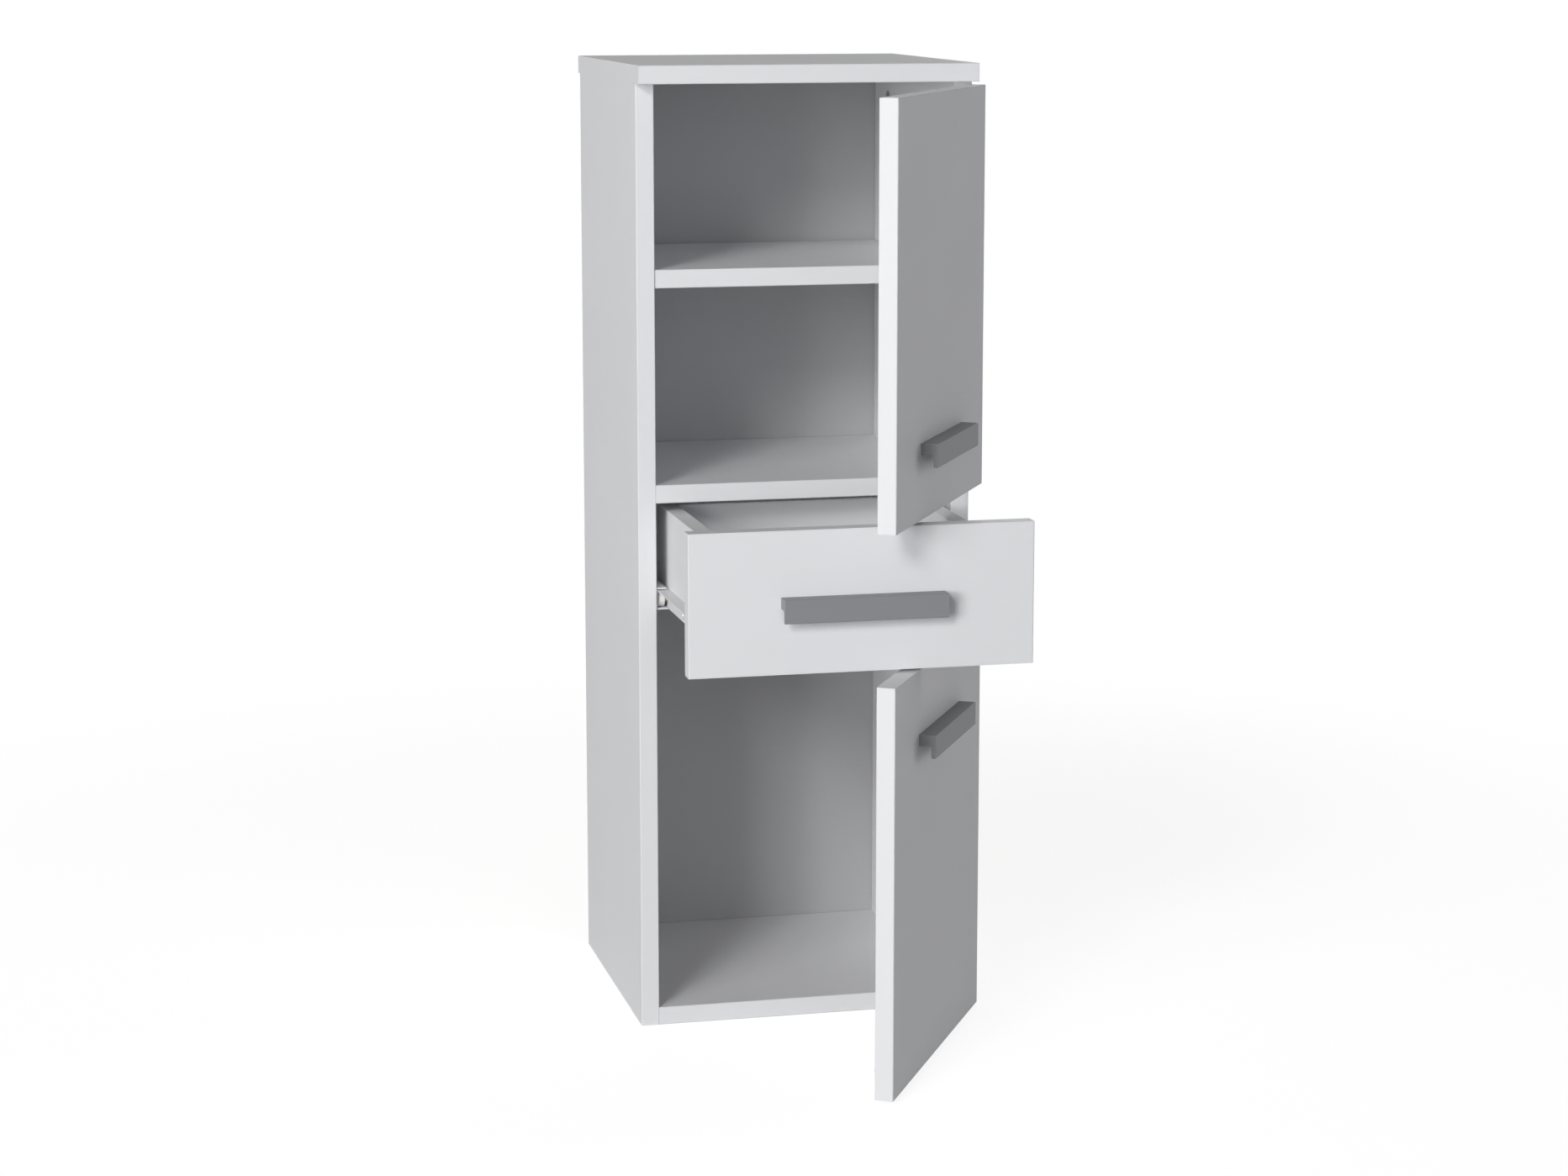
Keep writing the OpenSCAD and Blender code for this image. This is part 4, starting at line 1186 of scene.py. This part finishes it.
@dataclass
class Carcass:
    """The fixed cabinet: its boards, its back and the fixed halves of hinges and runners."""

    body: str = "carcass"

    def dress(self, shop: Workshop) -> None:
        """Gives the boards and the fittings their finishes.

        Args:
            shop: the workshop that holds the materials.
        """
        for side in ("left_side", "right_side"):
            shop.board(side, [Face.FRONT], [Face.BACK, Face.BELOW])
        for level in ("bottom_board", "middle_board"):
            shop.board(level, [Face.FRONT], [Face.BACK])
        shop.board("shelf", [Face.FRONT, Face.BACK])
        shop.board("top_board", [Face.FRONT, Face.LEFT, Face.RIGHT], [Face.BACK])
        shop.dress("panel", "back_panel")
        shop.dress("cast", "cam_locks")
        shop.dress("zinc", "shelf_pins", "cam_bolts", "back_nails", "hinge_plates", "hinge_arms",
                   "front_roller_axles")
        shop.dress("enamel", "cabinet_rail_left", "cabinet_rail_right")
        shop.dress("nylon", "front_roller_left", "front_roller_right")

    def build(self, shop: Workshop) -> None:
        """Makes the screws and the dowels of the fixed cabinet.

        Args:
            shop: the workshop that holds the materials.
        """
        zinc = shop.ready["zinc"]
        ScrewSet("hinge_plate_screws", self.body, Aim.RIGHT, WOOD_SCREW).build(zinc)
        ScrewSet("hinge_arm_screws", self.body, Aim.RIGHT, MACHINE_SCREW).build(zinc)
        ScrewSet("cabinet_rail_screws", self.body, Aim.OUTWARD, WOOD_SCREW).build(zinc)
        DowelSet("dowels", self.body).build(shop.ready["beech"])


@dataclass
class Door:
    """A door that stands open on its hinges.

    Attributes:
        level: upper or lower.
        edges: the door's taped edges.
    """

    level: str
    edges: tuple[Face, ...] = (Face.LEFT, Face.RIGHT, Face.BELOW, Face.ABOVE)

    @property
    def pivot(self) -> Pivot:
        """The hinge axis, from the joint's place and range.

        Returns:
            The axis and the angle at which the door stands.
        """
        joint = next(j for j in frame["joints"] if j["name"] == f"{self.level}_door_swing")
        x, y, _ = joint["pos_m"]
        return Pivot(x, y, math.radians(-joint["range_deg"][0]))

    def dress(self, shop: Workshop) -> None:
        """Gives the door and its fittings their finishes.

        Args:
            shop: the workshop that holds the materials.
        """
        shop.board(f"{self.level}_door", self.edges, pivot=self.pivot)
        shop.handle(f"{self.level}_door_handle", self.pivot)
        shop.dress("zinc", f"{self.level}_hinge_cups", f"{self.level}_hinge_pins")

    def build(self, shop: Workshop) -> None:
        """Makes the door's screws and bumpers.

        Args:
            shop: the workshop that holds the materials.
        """
        leaf = f"{self.level}_door_leaf"
        for fitting, form in (("handle", MACHINE_SCREW), ("cup", CUP_SCREW)):
            screws = ScrewSet(f"{self.level}_{fitting}_screws", leaf, Aim.FORWARD, form, self.pivot)
            screws.build(shop.ready["zinc"])
        BumperSet(f"{self.level}_door_bumpers", leaf, self.pivot).build(shop.ready["clear"])


@dataclass
class Drawer:
    """The drawer: its front, its box and the moving halves of its runners."""

    body: str = "drawer"

    def dress(self, shop: Workshop) -> None:
        """Gives the drawer and its fittings their finishes.

        Args:
            shop: the workshop that holds the materials.
        """
        shop.board("drawer_front", [Face.LEFT, Face.RIGHT, Face.BELOW, Face.ABOVE])
        for side in ("drawer_left_side", "drawer_right_side"):
            shop.board(side, [Face.ABOVE, Face.BACK], [Face.BELOW])
        shop.board("drawer_back", [Face.ABOVE], [Face.BELOW])
        shop.dress("tray", "drawer_bottom")
        shop.handle("drawer_handle")
        shop.dress("cast", "drawer_cam_locks")
        shop.dress("zinc", "drawer_cam_bolts", "rear_roller_axles")
        shop.dress("enamel", "drawer_rail_left", "drawer_rail_right")
        shop.dress("nylon", "rear_roller_left", "rear_roller_right")

    def build(self, shop: Workshop) -> None:
        """Makes the drawer's screws, dowels and bumpers.

        Args:
            shop: the workshop that holds the materials.
        """
        zinc = shop.ready["zinc"]
        ScrewSet("drawer_handle_screws", self.body, Aim.FORWARD, MACHINE_SCREW).build(zinc)
        ScrewSet("drawer_box_screws", self.body, Aim.INWARD, PANEL_SCREW).build(zinc)
        ScrewSet("drawer_rail_screws", self.body, Aim.INWARD, WOOD_SCREW).build(zinc)
        DowelSet("drawer_dowels", self.body).build(shop.ready["beech"])
        BumperSet("drawer_bumpers", self.body).build(shop.ready["clear"])


@dataclass(frozen=True)
class Lamp:
    """A large soft lamp, placed round the cabinet.

    Attributes:
        name: the lamp's name.
        bearing: how far it stands to the right of straight in front, in degrees.
        height: how far it stands above the cabinet's middle, in degrees.
        width: the side of its square, in metres.
        power: its power, in watts.
        tint: the colour of its light.
        distance: its distance from the cabinet's middle, in metres.
    """

    name: str
    bearing: float
    height: float
    width: float
    power: float
    tint: Colour = WHITE
    distance: float = 7.0

    def hang(self, target: Vector) -> None:
        """Hangs the lamp and aims it.

        Args:
            target: the point that it faces.
        """
        turn, rise = math.radians(self.bearing), math.radians(self.height)
        level = math.cos(rise)
        towards = Vector((math.sin(turn) * level, -math.cos(turn) * level, math.sin(rise)))
        light = bpy.data.lights.new(self.name, "AREA")
        light.shape, light.size = "SQUARE", self.width
        light.energy, light.color = self.power, self.tint
        lamp = bpy.data.objects.new(self.name, light)
        lamp.location = target + towards * self.distance
        lamp.rotation_euler = towards.to_track_quat("Z", "Y").to_euler()
        bpy.context.scene.collection.objects.link(lamp)


@dataclass
class Studio:
    """The pale floor, the soft light and the camera.

    Attributes:
        eye: the camera's place, in metres.
        turn: how far it looks to the right of straight on, in degrees.
        tilt: how far it looks down, in degrees.
        lens: its focal length, in millimetres.
        rise: its vertical shift, as a share of the picture's width.
        target: the height that the lamps face, in metres.
        lamps: the lamps.
        sky: brightness of the light from all round.
        floor_w: side of the floor's square, in metres.
        floor_grey: the share of light that the floor sends back where it shows a shadow.
        floor_glow: the brightness that it adds to reach white.
        plain_grey: the floor's colour for the light that it throws on the cabinet.
        fade: the squares of the distances between which the shadow fades to white, in m2.
        floor_drop: how far the floor lies under the cabinet, in metres.
        sensor: the width of the camera's sensor, in millimetres.
    """

    eye: tuple[float, float, float] = (-0.71936, -3.10284, 0.95)
    turn: float = 13.28
    tilt: float = 9.828
    lens: float = 80.298
    rise: float = -0.02
    target: float = 0.45
    lamps: tuple[Lamp, ...] = (
        Lamp("key_lamp", -45.0, 8.0, 2.4, 238.0),
        Lamp("high_key_lamp", -33.0, 25.0, 1.4, 155.0),
        Lamp("front_fill_lamp", 0.0, 5.0, 3.5, 43.0, (0.97, 1.0, 1.12)),
        Lamp("right_fill_lamp", 100.0, 10.0, 3.5, 76.0),
        Lamp("back_lamp", 157.0, 1.0, 1.4, 120.0),
    )
    sky: float = 0.08
    floor_w: float = 40.0
    floor_grey: float = 0.30
    floor_glow: float = 0.87
    plain_grey: float = 0.6
    fade: tuple[float, float] = (0.3, 2.2)
    floor_drop: float = 0.2 * MM
    sensor: float = 36.0

    @staticmethod
    def seen(bench: Bench) -> Wire:
        """Picks out the rays that show the background.

        Args:
            bench: the bench of the floor's material or of the world.

        Returns:
            1 for rays from the camera, off gloss and through clear pieces, and 0 for others.
        """
        camera, gloss, clear = (bench.node("ShaderNodeLightPath", output=f"Is {kind} Ray")
                                for kind in ("Camera", "Glossy", "Transmission"))
        return camera.most(gloss).most(clear)

    def lay_floor(self) -> None:
        """Lays the floor, which keeps a soft shadow and fades to plain white."""
        bench = Bench.material("studio_floor")
        shaded = bench.node("ShaderNodeBsdfDiffuse", sockets={
            "Color": opaque(WHITE, self.floor_grey)})
        glow = bench.node("ShaderNodeEmission", sockets={"Strength": self.floor_glow})
        lit = bench.node("ShaderNodeAddShader", sockets={0: shaded, 1: glow})
        white = bench.node("ShaderNodeEmission", sockets={"Strength": 1.0})
        x, y, _ = bench.split(bench.place())
        away = bench.node("ShaderNodeMapRange", {"interpolation_type": "SMOOTHSTEP"}, {
            "Value": x * x + y * y, "From Min": self.fade[0], "From Max": self.fade[1]})
        near = bench.node("ShaderNodeMixShader", sockets={0: away, 1: lit, 2: white})
        plain = bench.node("ShaderNodeBsdfDiffuse", sockets={
            "Color": opaque(WHITE, self.plain_grey)})
        bench.output(bench.node("ShaderNodeMixShader", sockets={
            0: self.seen(bench), 1: plain, 2: near}))
        mesh = bpy.data.meshes.new("floor")
        half, low = self.floor_w / 2, -self.floor_drop
        corners = [(-half, -half, low), (half, -half, low), (half, half, low), (-half, half, low)]
        mesh.from_pydata(corners, [], [(0, 1, 2, 3)])
        mesh.materials.append(bench.owner)
        floor = bpy.data.objects.new("floor", mesh)
        bpy.context.scene.collection.objects.link(floor)

    def light(self) -> None:
        """Hangs the lamps and sets the light from all round."""
        for lamp in self.lamps:
            lamp.hang(Vector((0, 0, self.target)))
        world = bpy.data.worlds.new("studio")
        bpy.context.scene.world = world
        bench = Bench(world)
        strength = self.seen(bench) * (1.0 - self.sky) + self.sky
        bench.output(bench.node("ShaderNodeBackground", sockets={
            "Color": opaque(WHITE), "Strength": strength}))

    def set_camera(self) -> None:
        """Places the camera and makes it the scene's own."""
        data = bpy.data.cameras.new("camera")
        data.lens, data.sensor_width, data.shift_y = self.lens, self.sensor, self.rise
        camera = bpy.data.objects.new("camera", data)
        camera.location = self.eye
        lean = math.pi / 2 - math.radians(self.tilt)
        camera.rotation_euler = (lean, 0, -math.radians(self.turn))
        bpy.context.scene.collection.objects.link(camera)
        bpy.context.scene.camera = camera


def main() -> None:
    """Builds the cabinet's pieces, dresses them and sets up the studio."""
    logging.basicConfig(level=logging.INFO, format="%(name)s: %(message)s")
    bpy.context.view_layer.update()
    shop = Workshop(Finishes())
    for assembly in (Carcass(), Door("upper"), Door("lower"), Drawer()):
        assembly.dress(shop)
        assembly.build(shop)
        log.info("%s is done", type(assembly).__name__)
    studio = Studio()
    studio.lay_floor()
    studio.light()
    studio.set_camera()
    bpy.context.scene.view_settings.view_transform = "Standard"


if __name__ == "__main__":
    main()
